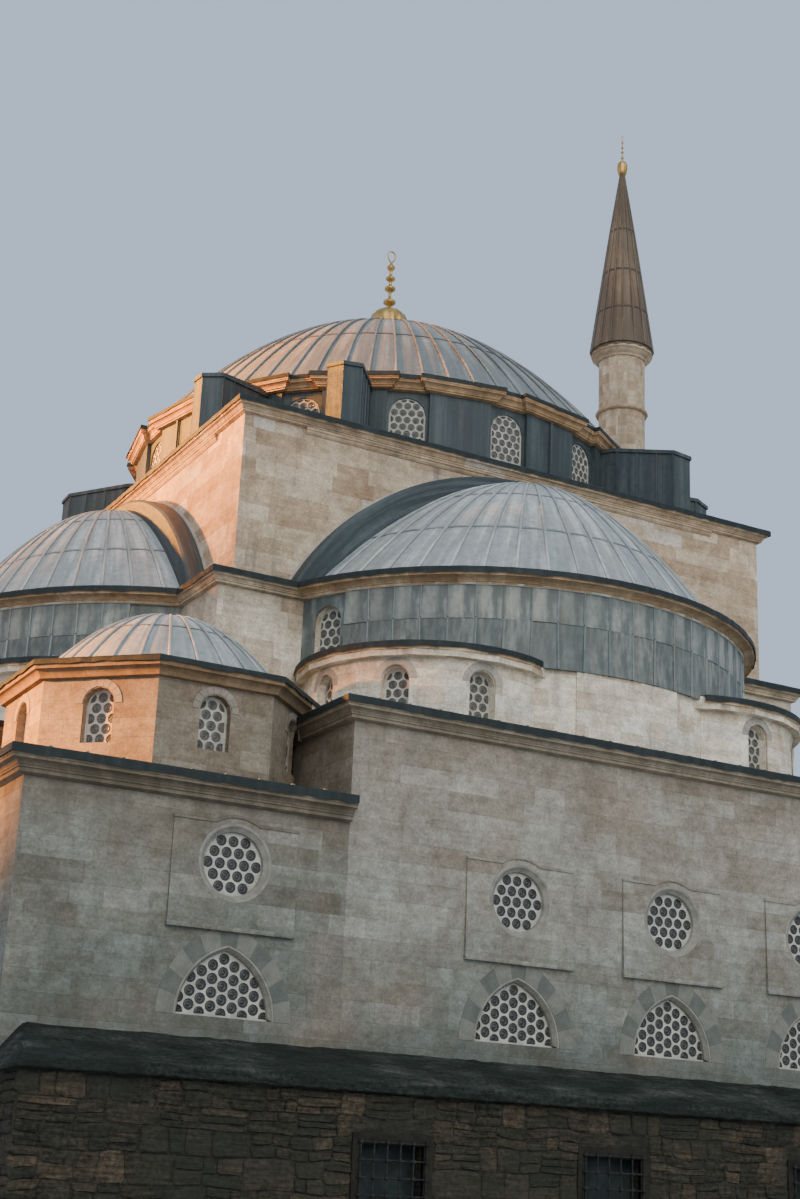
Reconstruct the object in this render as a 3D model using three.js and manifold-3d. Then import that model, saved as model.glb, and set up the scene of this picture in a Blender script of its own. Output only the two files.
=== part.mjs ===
// Domed stone mosque: a square hall on a rubble basement, four half domes with exedrae,
// four corner turrets, a cubic base block, a windowed drum, the main dome and one minaret.
// Millimetres, +Z up. The origin is on the dome axis at street level, -Y is the front.
import * as THREE from 'three';
import { mergeVertices } from 'three/addons/utils/BufferGeometryUtils.js';
import Module from 'manifold-3d';

const wasm = await Module();
wasm.setup();

// Driving dimensions
const GAP = 0.4;                       // air between cut or turned neighbours

// Stone cornices: how far the lip and the bed mould under it stand out, and the height of both
const CORNICE = {
  bay: { lip: 280, bed: 110, height: 360 },
  centre: { lip: 250, bed: 100, height: 320 },
  pier: { lip: 200, bed: 80, height: 260 },
  niche: { lip: 320, bed: 110, height: 260 },
  block: { lip: 200, bed: 80, height: 260 },
  turret: { lip: 200, bed: 80, height: 280 },
  drum: { lip: 220, bed: 90, height: 300 },
};

const HALL = 12400;                    // half the outer width of the hall
const HALL_WALL = 1100;                // thickness of the hall walls
const BASEMENT = { face: 13680, top: 3400, sideWall: 1300, floor: 200 };
const COPING = { top: 3930, nose: 150, edge: 180, drop: 20, side: 200, hip: 400 };
const FLOOR_TOP = 3700;
const BAY_TOP = 8050;                  // roof of the four corner bays
const CENTRE = { top: 9790, half: 6720, wall: 800, archWidth: 2600, archCrown: 7000 };

const PIER = { out: 7360, in: 5300, top: 13490, crownIn: 5400 };
const BLOCK = { half: 6850, in: 5450, top: 17540, vaultTop: 16900 };
const GREAT_ARCH = { radius: 5200, z: 11000 };
const PENDENTIVE_R = 7500;
const OCULUS_R = 4900;                 // round opening of the block under the drum

const DRUM = { radius: 6250, inner: 5200, top: 19340, windows: 16 };
const DRUM_WINDOW = { width: 850, sill: 17990, crown: 19180 };
const PILASTER = { out: 100, halfAngle: 6.8, spread: 0.3 };
const BUTTRESS = {
  angles: [33.75, 56.25], root: 5750, half: 370, shoulder: 8200, tip: 8460,
  top: 18950, inner: 6650, innerTop: 19300,
};
const DOME = { radius: 6390, foot: DRUM.top + CORNICE.drum.height, top: 23650, shell: 300 };

const NICHE = { y: -5320, radius: 5800, inner: 5000 };   // drum of a half dome
const HALF_DOME = { radius: 5650, top: 16950, poleY: -7300, power: 1.8, shell: 300 };
const RIM = { radius: 6270, z: 10800, depth: 420 };
const NICHE_WINDOW = { width: 650, sill: 12000, crown: 13000, angle: -153 };

const EXEDRA = { x: 3100, y: -8490, radius: 2470, inner: 1750, top: 11670, lip: 220, lipH: 250 };
const EXEDRA_CEILING = 11400;
const EXEDRA_WINDOW = { width: 520, sill: 10300, crown: 11270, angles: [-173, -134, -95] };

const TURRET = { at: 8930, apothem: 2580, inner: 2050, top: 10160 };
const TURRET_WINDOW = { width: 570, sill: 8740, crown: 9710, angles: [-180, -135, -90, 135, -45] };
const TURRET_DOME = { radius: 2350, foot: TURRET.top, top: 11720, shell: 200 };

const LOW_WINDOW = { width: 1672, sill: 4270, crown: 5370 };
const ROUND_WINDOW = { radius: 625, z: 6710 };
const WINDOW_XS = [-8770, -3300, 0, 3300, 8770];
const BASEMENT_WINDOW = { width: 1100, sill: 950, head: 2460, xs: [6350, 2200] };
const DOOR = { width: 2000, crown: 2700 };
const SHEET = 25;                      // thickness of the glass sheets

const MINARET = {
  x: HALL + GAP + 1465, y: 8580, half: 1465, baseTop: 9000, footTop: 11000, collar: 80,
  radius: 950, upper: 820, bore: 450, corbelFoot: 23600, ledge: 24300, corbelH: 150,
  parapetTop: 25300, parapet: 120, balconyR: 1750, doorWidth: 600, doorHeight: 1800,
  eave: 30500, eaveEdge: 120, coneR: 1080, coneTop: 37920, tipR: 60, finialTop: 39580, sides: 16,
};
const DOME_FINIAL = { top: 26430, cap: 480, sides: 12 };
const MINARET_FINIAL = { cap: 160, sides: 8 };

// Facets of round pieces
const WIDE_FACETS = 32;
const MEDIUM_FACETS = 20;
const SMALL_FACETS = 16;
const ARCH_FACETS = 3;                 // for each quarter turn of a window arch
const RINGS = { main: 6, half: 8, lining: 6, turret: 4 };   // level rings of facets on a dome
const PAST = 100;                      // how far a cut runs past the faces that it opens
const FAR = 20000;                     // beyond every face of the building

// Materials
const stone = (name, color, roughness = 0.9) => {
  const material = new THREE.MeshStandardMaterial({ color, roughness, metalness: 0 });
  material.name = name;
  return material;
};
const ashlar = stone('ashlar', 0xa79c8d);
const rubble = stone('rubble', 0x5c5148, 0.95);
const lead = new THREE.MeshStandardMaterial({ color: 0x7d878c, roughness: 0.55, metalness: 0.4 });
const gilt = new THREE.MeshStandardMaterial({ color: 0xc79a4b, roughness: 0.3, metalness: 1 });
const glass = new THREE.MeshStandardMaterial({ color: 0x2f3a3a, roughness: 0.2, metalness: 0 });

// Solids from three.js geometry
const DEGREE = Math.PI / 180;

function signedVolume(position, index) {
  const at = (i) => new THREE.Vector3().fromBufferAttribute(position, index[i]);
  let volume = 0;
  for (let i = 0; i < index.length; i += 3) volume += at(i).dot(at(i + 1).cross(at(i + 2)));
  return volume / 6;
}

function solid(geometry) {
  const bare = geometry.clone();
  bare.deleteAttribute('normal');
  bare.deleteAttribute('uv');
  const merged = mergeVertices(bare, 0.01);
  const triangles = Uint32Array.from(merged.index.array);
  const kept = [];
  for (let i = 0; i < triangles.length; i += 3) {
    const [a, b, c] = triangles.slice(i, i + 3);
    if (a !== b && b !== c && a !== c) kept.push(a, b, c);
  }
  if (signedVolume(merged.attributes.position, kept) < 0) kept.reverse();
  const mesh = new wasm.Mesh({
    numProp: 3,
    vertProperties: Float32Array.from(merged.attributes.position.array),
    triVerts: Uint32Array.from(kept),
  });
  return new wasm.Manifold(mesh);
}

const joined = (...parts) => parts.reduce((whole, part) => whole.add(part));
const without = (whole, ...cuts) => cuts.reduce((left, cut) => left.subtract(cut), whole);

function box(x0, x1, y0, y1, z0, z1) {
  const geometry = new THREE.BoxGeometry(x1 - x0, y1 - y0, z1 - z0);
  return solid(geometry.translate((x0 + x1) / 2, (y0 + y1) / 2, (z0 + z1) / 2));
}

const squareBlock = (half, z0, z1) => box(-half, half, -half, half, z0, z1);

const outline = (points) => new THREE.Shape(points.map(([x, y]) => new THREE.Vector2(x, y)));

function prism(points, z0, z1) {
  const options = { depth: z1 - z0, bevelEnabled: false };
  return solid(new THREE.ExtrudeGeometry(outline(points), options).translate(0, 0, z0));
}

// A shape drawn in x and z, carried through a wall from y0 back to y1
function through(shape, y0, y1, facets = ARCH_FACETS) {
  const options = { depth: y1 - y0, bevelEnabled: false, curveSegments: facets };
  return new THREE.ExtrudeGeometry(shape, options).rotateX(Math.PI / 2).translate(0, y1, 0);
}

function disc(radius, z0, z1, facets, x = 0, y = 0) {
  const geometry = new THREE.CylinderGeometry(radius, radius, z1 - z0, facets);
  return solid(geometry.rotateX(Math.PI / 2).translate(x, y, (z0 + z1) / 2));
}

// A closed profile of [radius, z] points turned about the vertical axis
function turned(profile, facets) {
  const points = profile.map(([r, z]) => new THREE.Vector2(r, z));
  return solid(new THREE.LatheGeometry(points, facets).rotateX(Math.PI / 2));
}

// A ring of square section between two radii
function ring(inner, outer, z0, z1, facets) {
  return turned([[inner, z0], [outer, z0], [outer, z1], [inner, z1], [inner, z0]], facets);
}

// Foot of a cornice whose lip ends at the given top, and the foot of that lip halfway up
const footOf = (cornice, top) => top - cornice.height;
const lipFoot = (cornice, top) => top - cornice.height / 2;

// A regular prism with a flat side facing each compass point
function regular(sides, apothem, z0, z1) {
  const corner = apothem / Math.cos(Math.PI / sides);
  const points = [];
  for (let i = 0; i < sides; i += 1) {
    const angle = (i + 0.5) * 2 * Math.PI / sides;
    points.push([corner * Math.cos(angle), corner * Math.sin(angle)]);
  }
  return prism(points, z0, z1);
}

function circle(x, z, radius) {
  const shape = new THREE.Shape();
  shape.absarc(x, z, radius, 0, 2 * Math.PI, false);
  return shape;
}

function roundArch({ width, sill, crown }) {
  const shape = new THREE.Shape();
  const half = width / 2;
  shape.moveTo(-half, sill);
  shape.lineTo(half, sill);
  shape.lineTo(half, crown - half);
  shape.absarc(0, crown - half, half, 0, Math.PI, false);
  shape.closePath();
  return shape;
}

// Low pointed arch of the lower windows: two arcs that start upright at the sill
function pointedArch({ width, sill, crown }, x) {
  const half = width / 2;
  const rise = crown - sill;
  const radius = (half * half + rise * rise) / (2 * half);
  const lean = Math.asin(rise / radius);
  const shape = new THREE.Shape();
  shape.moveTo(x + half, sill);
  shape.absarc(x + half - radius, sill, radius, 0, lean, false);
  shape.absarc(x - half + radius, sill, radius, Math.PI - lean, Math.PI, false);
  shape.closePath();
  return shape;
}

// A window cut carried outwards along the given compass angle from an axis at x, y
function radialCut(shape, near, far, angle, x = 0, y = 0) {
  const geometry = through(shape, -far, -near);
  return solid(geometry.rotateZ((angle + 90) * DEGREE).translate(x, y, 0));
}

// Shell under a parabola of the given foot radius and top, with a level foot
function parabolicShell({ radius, foot, top, shell }, rings, facets) {
  const outer = [];
  const inner = [];
  for (let i = 0; i <= rings; i += 1) {
    const share = i / rings;
    outer.push([radius * share, top - (top - foot) * share ** 2]);
    inner.push([(radius - shell) * share, top - shell - (top - shell - foot) * share ** 2]);
  }
  return turned([...inner, ...outer.reverse()], facets);
}

// Scene graph
const mosque = new THREE.Group();

function piece(name, body, material, parent = mosque) {
  const { vertProperties, triVerts, numProp } = body.getMesh();
  const corners = new Float32Array(triVerts.length * 3);
  triVerts.forEach((vertex, i) => {
    for (let k = 0; k < 3; k += 1) corners[3 * i + k] = vertProperties[vertex * numProp + k];
  });
  const geometry = new THREE.BufferGeometry();
  geometry.setAttribute('position', new THREE.BufferAttribute(corners, 3));
  geometry.computeVertexNormals();
  const mesh = new THREE.Mesh(geometry, material);
  mesh.name = name;
  parent.add(mesh);
}

// The four sides and the four corners are one quarter of the plan, turned about the dome axis
const SIDES = ['front', 'right', 'back', 'left'];
const CORNERS = ['front_left', 'front_right', 'back_right', 'back_left'];
const quarter = (i) => {
  const group = new THREE.Group();
  group.rotation.z = i * Math.PI / 2;
  mosque.add(group);
  return group;
};
const ordered = (a, b) => [Math.min(a, b), Math.max(a, b)];

// Basement: rubble walls under the hall, standing out in front and behind
function basementLongWall(hasDoor) {
  const inner = HALL - HALL_WALL;
  const reach = [-BASEMENT.face - PAST, PAST - inner];
  const half = BASEMENT_WINDOW.width / 2;
  const places = hasDoor ? BASEMENT_WINDOW.xs.slice(0, 1) : BASEMENT_WINDOW.xs;
  const cuts = places.flatMap((place) => [-place, place]).map((x) => (
    box(x - half, x + half, ...reach, BASEMENT_WINDOW.sill, BASEMENT_WINDOW.head)));
  if (hasDoor) cuts.push(solid(through(roundArch({ ...DOOR, sill: -PAST }), ...reach)));
  return without(box(-HALL, HALL, -BASEMENT.face, -inner, 0, BASEMENT.top), ...cuts);
}

function coping() {
  const nose = -BASEMENT.face - COPING.nose;
  const edge = BASEMENT.top - COPING.edge;
  const section = outline([
    [-HALL - GAP, BASEMENT.top], [-HALL - GAP, COPING.top], [nose, BASEMENT.top - COPING.drop],
    [nose, edge], [-BASEMENT.face - GAP, edge], [-BASEMENT.face - GAP, BASEMENT.top],
  ]);
  const end = HALL + COPING.side;
  const run = new THREE.ExtrudeGeometry(section, { depth: 2 * end, bevelEnabled: false });
  const alongX = new THREE.Matrix4().set(0, 0, 1, -end, 1, 0, 0, 0, 0, 1, 0, 0, 0, 0, 0, 1);
  const low = BASEMENT.top - COPING.side;
  const hips = outline([
    [-end, low - COPING.side], [end, low - COPING.side], [end, low], [HALL - COPING.hip, COPING.top],
    [COPING.hip - HALL, COPING.top], [-end, low],
  ]);
  return solid(run.applyMatrix4(alongX)).intersect(solid(through(hips, nose - PAST, PAST - HALL)));
}

for (const [side, turn] of [['front', 0], ['back', 2]]) {
  const group = quarter(turn);
  piece(`basement_${side}_wall`, basementLongWall(side === 'back'), rubble, group);
  piece(`basement_${side}_coping`, coping(), rubble, group);
}
for (const [side, sign] of [['left', -1], ['right', 1]]) {
  const reach = HALL - HALL_WALL - GAP;
  const xs = ordered(sign * HALL, sign * (HALL - BASEMENT.sideWall));
  piece(`basement_${side}_wall`, box(...xs, -reach, reach, 0, BASEMENT.top), rubble);
}
const slabX = HALL - BASEMENT.sideWall;
const slabY = HALL - HALL_WALL;
piece('basement_floor', box(-slabX, slabX, -slabY, slabY, 0, BASEMENT.floor), ashlar);
piece('hall_floor', squareBlock(HALL, BASEMENT.top, FLOOR_TOP), ashlar);

// Hall walls: each takes one corner, and its middle rises as the face of the centre bay
function hallWall() {
  const low = footOf(CORNICE.bay, BAY_TOP);
  const high = footOf(CORNICE.centre, CENTRE.top);
  const end = HALL - HALL_WALL - GAP;
  const face = outline([
    [-HALL, FLOOR_TOP], [end, FLOOR_TOP], [end, low], [CENTRE.half, low], [CENTRE.half, high],
    [-CENTRE.half, high], [-CENTRE.half, low], [-HALL, low],
  ]);
  const reach = [-HALL - PAST, -HALL + HALL_WALL + PAST];
  const cuts = WINDOW_XS.flatMap((x) => [
    solid(through(pointedArch(LOW_WINDOW, x), ...reach)),
    solid(through(circle(x, ROUND_WINDOW.z, ROUND_WINDOW.radius), ...reach, 2 * ARCH_FACETS)),
  ]);
  return without(solid(through(face, -HALL, -HALL + HALL_WALL)), ...cuts);
}

function hallWindows() {
  const y = GAP - HALL + HALL_WALL;
  const reach = HALL - HALL_WALL - SHEET - 2 * GAP;
  return box(-reach, reach, y, y + SHEET, FLOOR_TOP, footOf(CORNICE.bay, BAY_TOP));
}

SIDES.forEach((side, i) => {
  const group = quarter(i);
  piece(`${side}_wall`, hallWall(), ashlar, group);
  piece(`${side}_windows`, hallWindows(), glass, group);
});

// Corner bays: an L-shaped roof with its cornice, and an octagonal opening under the turret
function bayRoof() {
  const edge = -CENTRE.half - GAP;
  const pier = -PIER.out - GAP;
  const plan = (out) => [[out, out], [edge, out], [edge, pier], [pier, pier], [pier, edge], [out, edge]];
  const { bay } = CORNICE;
  const foot = footOf(bay, BAY_TOP);
  const lip = prism(plan(-HALL - bay.lip), lipFoot(bay, BAY_TOP), BAY_TOP);
  const bed = prism(plan(-HALL - bay.bed), foot, lipFoot(bay, BAY_TOP) + 1);
  const well = regular(8, TURRET.inner, foot - PAST, BAY_TOP + PAST);
  return lip.add(bed).subtract(well.translate([-TURRET.at, -TURRET.at, 0]));
}

// Centre bay: side walls pierced by an arch, and the roof round the half dome's drum
function centreBay() {
  const start = -HALL + HALL_WALL + SHEET + 2 * GAP;
  const end = -PIER.out - GAP;
  const { centre } = CORNICE;
  const roofZ = footOf(centre, CENTRE.top);
  const arch = roundArch({ width: CENTRE.archWidth, sill: FLOOR_TOP - PAST, crown: CENTRE.archCrown });
  const passage = solid(through(arch, -PAST, CENTRE.wall + PAST).rotateZ(Math.PI / 2));
  const sides = [-1, 1].map((sign) => {
    const [x0, x1] = ordered(sign * CENTRE.half, sign * (CENTRE.half - CENTRE.wall));
    const wall = box(x0, x1, start, end, FLOOR_TOP, roofZ + 1);
    return wall.subtract(passage.translate([x1, (start + end) / 2, 0]));
  });
  const slab = (out, z0, z1) => box(-CENTRE.half - out, CENTRE.half + out, -HALL - out, end, z0, z1);
  const hollow = joined(
    disc(NICHE.inner, roofZ - PAST, CENTRE.top + PAST, WIDE_FACETS, 0, NICHE.y),
    ...[-1, 1].map((sign) => (
      disc(EXEDRA.inner, roofZ - PAST, CENTRE.top + PAST, SMALL_FACETS, sign * EXEDRA.x, EXEDRA.y))),
  );
  const lip = slab(centre.lip, lipFoot(centre, CENTRE.top), CENTRE.top);
  const bed = slab(centre.bed, roofZ, lipFoot(centre, CENTRE.top) + 1);
  return joined(...sides, lip, bed).subtract(hollow);
}

// Half dome's drum with its two exedrae, one mass of masonry on the centre bay's roof
function halfDrum() {
  const { y, radius, inner } = NICHE;
  const { bed, lip } = CORNICE.niche;
  const base = CENTRE.top;
  const wallTop = footOf(CORNICE.niche, PIER.top);
  const lipBase = lipFoot(CORNICE.niche, PIER.top);
  const lipTop = EXEDRA.top - EXEDRA.lipH;
  const places = [-1, 1].map((sign) => [sign * EXEDRA.x, EXEDRA.y]);
  const mirrored = (angle) => -180 - angle;
  const mass = joined(
    disc(radius, base, wallTop + 1, WIDE_FACETS, 0, y),
    disc(radius + bed, wallTop, lipBase + 1, WIDE_FACETS, 0, y),
    disc(radius + lip, lipBase, PIER.top, WIDE_FACETS, 0, y),
    ...places.map((at) => disc(EXEDRA.radius, base, lipTop + 1, MEDIUM_FACETS, ...at)),
    ...places.map((at) => disc(EXEDRA.radius + EXEDRA.lip, lipTop, EXEDRA.top, MEDIUM_FACETS, ...at)),
  );
  const cuts = [
    disc(inner, base - PAST, PIER.top + PAST, WIDE_FACETS, 0, y),
    ...places.map((at) => disc(EXEDRA.inner, base - PAST, EXEDRA_CEILING, SMALL_FACETS, ...at)),
    box(-FAR, FAR, -PIER.out - GAP, FAR, base - PAST, PIER.top + PAST),
    ...[NICHE_WINDOW.angle, mirrored(NICHE_WINDOW.angle)].map((angle) => (
      radialCut(roundArch(NICHE_WINDOW), inner - 5 * PAST, radius + 5 * PAST, angle, 0, y))),
    ...places.flatMap((at, k) => EXEDRA_WINDOW.angles.map((angle) => (
      radialCut(roundArch(EXEDRA_WINDOW), EXEDRA.inner - 3 * PAST, EXEDRA.radius + 3 * PAST,
        k ? mirrored(angle) : angle, ...at)))),
  ];
  return without(mass, ...cuts);
}

// Round plans that slide forward as they rise, from the niche's centre to a pole before the block
function leaningDome(radius, top, rings, facets) {
  const { poleY, power } = HALF_DOME;
  const profile = [[0, PIER.top - PAST], [radius, PIER.top - PAST]];
  for (let i = 0; i <= rings; i += 1) {
    const share = 1 - i / rings;
    profile.push([radius * share, PIER.top + (top - PIER.top) * (1 - share ** power)]);
  }
  const points = profile.map(([r, z]) => new THREE.Vector2(r, z));
  const geometry = new THREE.LatheGeometry(points, facets).rotateX(Math.PI / 2);
  const { position } = geometry.attributes;
  for (let i = 0; i < position.count; i += 1) {
    const slide = 1 - Math.hypot(position.getX(i), position.getY(i)) / radius;
    position.setY(i, position.getY(i) + NICHE.y + (poleY - NICHE.y) * slide);
  }
  return solid(geometry);
}

function halfDome() {
  const { radius, top, shell } = HALF_DOME;
  const face = -BLOCK.half - GAP;
  const outer = leaningDome(radius, top, RINGS.half, WIDE_FACETS);
  const inner = leaningDome(radius - shell, top - shell, RINGS.lining, MEDIUM_FACETS);
  const rim = solid(through(circle(0, RIM.z, RIM.radius), face - RIM.depth, face, SMALL_FACETS));
  const keep = box(-FAR, FAR, -FAR, face, PIER.top, FAR);
  return outer.add(rim).subtract(inner).intersect(keep);
}

function halfDrumGlass() {
  const outer = NICHE.inner - GAP;
  const sheet = ring(outer - SHEET, outer, EXEDRA.top, footOf(CORNICE.niche, PIER.top), WIDE_FACETS);
  const ahead = box(-FAR, FAR, -FAR, -PIER.out - GAP - NICHE.y, 0, FAR);
  return sheet.intersect(ahead).translate([0, NICHE.y, 0]);
}

SIDES.forEach((side, i) => {
  const group = quarter(i);
  piece(`${side}_centre_bay`, centreBay(), ashlar, group);
  piece(`${side}_half_drum`, halfDrum(), ashlar, group);
  piece(`${side}_half_dome`, halfDome(), lead, group);
  piece(`${side}_half_drum_glass`, halfDrumGlass(), glass, group);
});

// Main piers, which rise past the roofs as corner blocks between the half domes
function pier() {
  const { lip, bed } = CORNICE.pier;
  const foot = footOf(CORNICE.pier, PIER.top);
  const lipBase = lipFoot(CORNICE.pier, PIER.top);
  const corner = (out, inside, z0, z1) => box(-out, -inside, -out, -inside, z0, z1);
  const shaft = corner(PIER.out, PIER.in, FLOOR_TOP, PIER.top);
  const bedMould = corner(PIER.out + bed, PIER.crownIn, foot, lipBase + 1);
  const lipMould = corner(PIER.out + lip, PIER.crownIn, lipBase, PIER.top);
  const lipR = NICHE.radius + CORNICE.niche.lip + 2 * GAP;
  const halfDrumLip = disc(lipR, foot - PAST, PIER.top + PAST, WIDE_FACETS, 0, NICHE.y)
    .intersect(box(-FAR, FAR, -FAR, -PIER.out, 0, FAR));
  return without(joined(shaft, bedMould, lipMould), halfDrumLip, halfDrumLip.rotate([0, 0, -90]));
}

function roomOfPier() {
  const edge = -PIER.out - GAP;
  return box(edge, 0, edge, 0, 0, FAR);
}

// Corner turret: octagonal drum cut round the pier and the two centre bays it leans on
function turret() {
  const { apothem, top, inner } = TURRET;
  const { bed, lip } = CORNICE.turret;
  const foot = footOf(CORNICE.turret, top);
  const lipBase = lipFoot(CORNICE.turret, top);
  const mass = joined(
    regular(8, apothem, BAY_TOP, foot + 1),
    regular(8, apothem + bed, foot, lipBase + 1),
    regular(8, apothem + lip, lipBase, top),
  );
  const windows = TURRET_WINDOW.angles.map((angle) => (
    radialCut(roundArch(TURRET_WINDOW), inner - 3 * PAST, apothem + lip + 3 * PAST, angle)));
  const body = without(mass, regular(8, inner, BAY_TOP - PAST, top + PAST), ...windows);
  const bayEdge = -CENTRE.half - CORNICE.centre.lip - GAP;
  return without(
    body.translate([-TURRET.at, -TURRET.at, 0]),
    roomOfPier(),
    box(bayEdge, 0, -FAR, 0, 0, CENTRE.top + GAP),
    box(-FAR, 0, bayEdge, 0, 0, CENTRE.top + GAP),
  );
}

CORNERS.forEach((corner, i) => {
  const group = quarter(i);
  piece(`${corner}_bay_roof`, bayRoof(), ashlar, group);
  piece(`${corner}_pier`, pier(), ashlar, group);
  piece(`${corner}_turret`, turret(), ashlar, group);
  const shell = parabolicShell(TURRET_DOME, RINGS.turret, MEDIUM_FACETS);
  const dome = shell.translate([-TURRET.at, -TURRET.at, 0]).subtract(roomOfPier());
  piece(`${corner}_turret_dome`, dome, lead, group);
});

// Base block: a cube on four great arches, with pendentives closing in to the drum
function baseBlock() {
  const { half, in: inside, top, vaultTop } = BLOCK;
  const { bed, lip } = CORNICE.block;
  const foot = footOf(CORNICE.block, top);
  const lipBase = lipFoot(CORNICE.block, top);
  const mass = joined(
    squareBlock(half, PIER.top, foot + 1),
    squareBlock(half + bed, foot, lipBase + 1),
    squareBlock(half + lip, lipBase, top),
  );
  const sphere = new THREE.SphereGeometry(PENDENTIVE_R, MEDIUM_FACETS, SMALL_FACETS);
  const dome = solid(sphere.rotateX(Math.PI / 2).translate(0, 0, GREAT_ARCH.z));
  const vault = squareBlock(inside, PIER.top - PAST, vaultTop).intersect(dome);
  const tunnel = solid(through(circle(0, GREAT_ARCH.z, GREAT_ARCH.radius), -FAR, FAR, SMALL_FACETS));
  const eye = disc(OCULUS_R, vaultTop - 5 * PAST, top + PAST, SMALL_FACETS);
  return without(mass, vault, tunnel, tunnel.rotate([0, 0, 90]), eye);
}
piece('base_block', baseBlock(), ashlar);

// Outline of the drum in plan: a circle with a broad pilaster between every two windows
function drumPlan(radius, halfAngle) {
  const points = [];
  const at = (r, angle) => points.push([r * Math.cos(angle * DEGREE), r * Math.sin(angle * DEGREE)]);
  for (let i = 0; i < DRUM.windows; i += 1) {
    const middle = (i + 0.5) * 360 / DRUM.windows;
    at(radius, middle - halfAngle);
    at(radius + PILASTER.out, middle - halfAngle);
    at(radius + PILASTER.out, middle + halfAngle);
    at(radius, middle + halfAngle);
  }
  return points;
}

// Buttress: a pier of lead-clad masonry on a pilaster, with a sloping top and a pointed outer end
function buttress(angle) {
  const { root, half, shoulder, tip, top, inner, innerTop } = BUTTRESS;
  const plan = [[root, -half], [shoulder, -half], [tip, 0], [shoulder, half], [root, half]];
  const fall = (innerTop - top) / (tip - inner);
  const side = outline([
    [root, BLOCK.top], [tip + PAST, BLOCK.top], [tip + PAST, top - fall * PAST],
    [inner, innerTop], [root, innerTop],
  ]);
  const profile = solid(through(side, -half - PAST, half + PAST));
  return prism(plan, BLOCK.top, DRUM.top).intersect(profile).rotate([0, 0, angle]);
}

function drum() {
  const wall = prism(drumPlan(DRUM.radius, PILASTER.halfAngle), BLOCK.top, DRUM.top);
  const angles = [0, 90, 180, 270].flatMap((turn) => BUTTRESS.angles.map((angle) => turn + angle));
  const cuts = [regular(DRUM.windows, DRUM.inner, BLOCK.top - PAST, DRUM.top + PAST)];
  for (let i = 0; i < DRUM.windows; i += 1) {
    const angle = i * 360 / DRUM.windows;
    cuts.push(radialCut(roundArch(DRUM_WINDOW), DRUM.inner - 5 * PAST, DRUM.radius + 3 * PAST, angle));
  }
  return without(joined(wall, ...angles.map(buttress)), ...cuts);
}
piece('drum', drum(), lead);

function drumCornice() {
  const { radius, inner, top, windows } = DRUM;
  const { halfAngle, spread } = PILASTER;
  const { bed, lip } = CORNICE.drum;
  const lipBase = lipFoot(CORNICE.drum, DOME.foot);
  const bedMould = prism(drumPlan(radius + bed, halfAngle + spread), top, lipBase + 1);
  const lipMould = prism(drumPlan(radius + lip, halfAngle + 2 * spread), lipBase, DOME.foot);
  return bedMould.add(lipMould).subtract(regular(windows, inner, top - PAST, DOME.foot + PAST));
}
piece('drum_cornice', drumCornice(), ashlar);

function drumGlass() {
  const outer = DRUM.inner - GAP;
  const sheet = regular(DRUM.windows, outer, BLOCK.top, DRUM.top);
  return sheet.subtract(regular(DRUM.windows, outer - SHEET, BLOCK.top - PAST, DRUM.top + PAST));
}
piece('drum_glass', drumGlass(), glass);

piece('main_dome', parabolicShell(DOME, RINGS.main, WIDE_FACETS), lead);

// Finials: a fluted cap or collar, a stem with swellings, and a slender tip.
// Each step is a share of the cap's radius and a share of the height.
const FINIAL_STEPS = [
  [0, 0], [0.8, 0], [0.97, 0.07], [1, 0.14], [0.92, 0.21], [0.68, 0.28], [0.3, 0.33], [0.12, 0.36],
  [0.12, 0.4], [0.35, 0.43], [0.12, 0.46], [0.1, 0.55], [0.31, 0.58], [0.1, 0.61], [0.1, 0.66],
  [0.27, 0.69], [0.08, 0.72], [0.08, 0.78], [0.23, 0.81], [0.06, 0.84], [0.06, 0.88], [0.22, 0.94],
  [0, 1],
];
function finial(foot, top, { cap, sides }) {
  return turned(FINIAL_STEPS.map(([r, share]) => [cap * r, foot + share * (top - foot)]), sides);
}
piece('dome_finial', finial(DOME.top + GAP, DOME_FINIAL.top, DOME_FINIAL), gilt);

// Minaret against the right wall: square base, polygonal shaft, balcony and lead cone
const shaftLength = (radius, z0, z1) => disc(radius, z0, z1, MINARET.sides);

function minaretBase() {
  const { x, half, baseTop, footTop, radius, collar, bore, sides } = MINARET;
  const foot = new THREE.CylinderGeometry(radius + collar, half, footTop - baseTop + 1, sides);
  const taper = solid(foot.rotateX(Math.PI / 2).translate(0, 0, (baseTop - 1 + footTop) / 2));
  const hallCornice = box(-half - PAST, HALL + CORNICE.bay.lip + GAP - x, -FAR, FAR,
    footOf(CORNICE.bay, BAY_TOP) - GAP, BAY_TOP + GAP);
  const body = squareBlock(half, 0, baseTop).add(taper);
  return without(body, disc(bore, -PAST, footTop + PAST, SMALL_FACETS), hallCornice);
}

function minaretShaft() {
  const { radius, upper, bore, footTop, ledge, eave, doorWidth, doorHeight } = MINARET;
  const body = joined(shaftLength(radius, footTop, ledge), shaftLength(upper, ledge - 1, eave));
  const door = box(0, radius + PAST, -doorWidth / 2, doorWidth / 2, ledge, ledge + doorHeight);
  return without(body, disc(bore, footTop - PAST, eave + PAST, SMALL_FACETS), door);
}

function minaretBalcony() {
  const { radius, corbelFoot, corbelH, ledge, parapetTop, parapet, balconyR, sides } = MINARET;
  const inner = radius + GAP;
  return turned([
    [inner, corbelFoot], [inner + corbelH, corbelFoot], [balconyR - PAST, ledge - corbelH],
    [balconyR, ledge - corbelH], [balconyR, parapetTop], [balconyR - parapet, parapetTop],
    [balconyR - parapet, ledge], [inner, ledge], [inner, corbelFoot],
  ], sides);
}

function minaretCap() {
  const { eave, eaveEdge, coneR, coneTop, tipR, sides } = MINARET;
  return turned([
    [0, eave], [coneR, eave], [coneR, eave + eaveEdge], [tipR, coneTop], [0, coneTop],
  ], sides);
}

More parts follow.
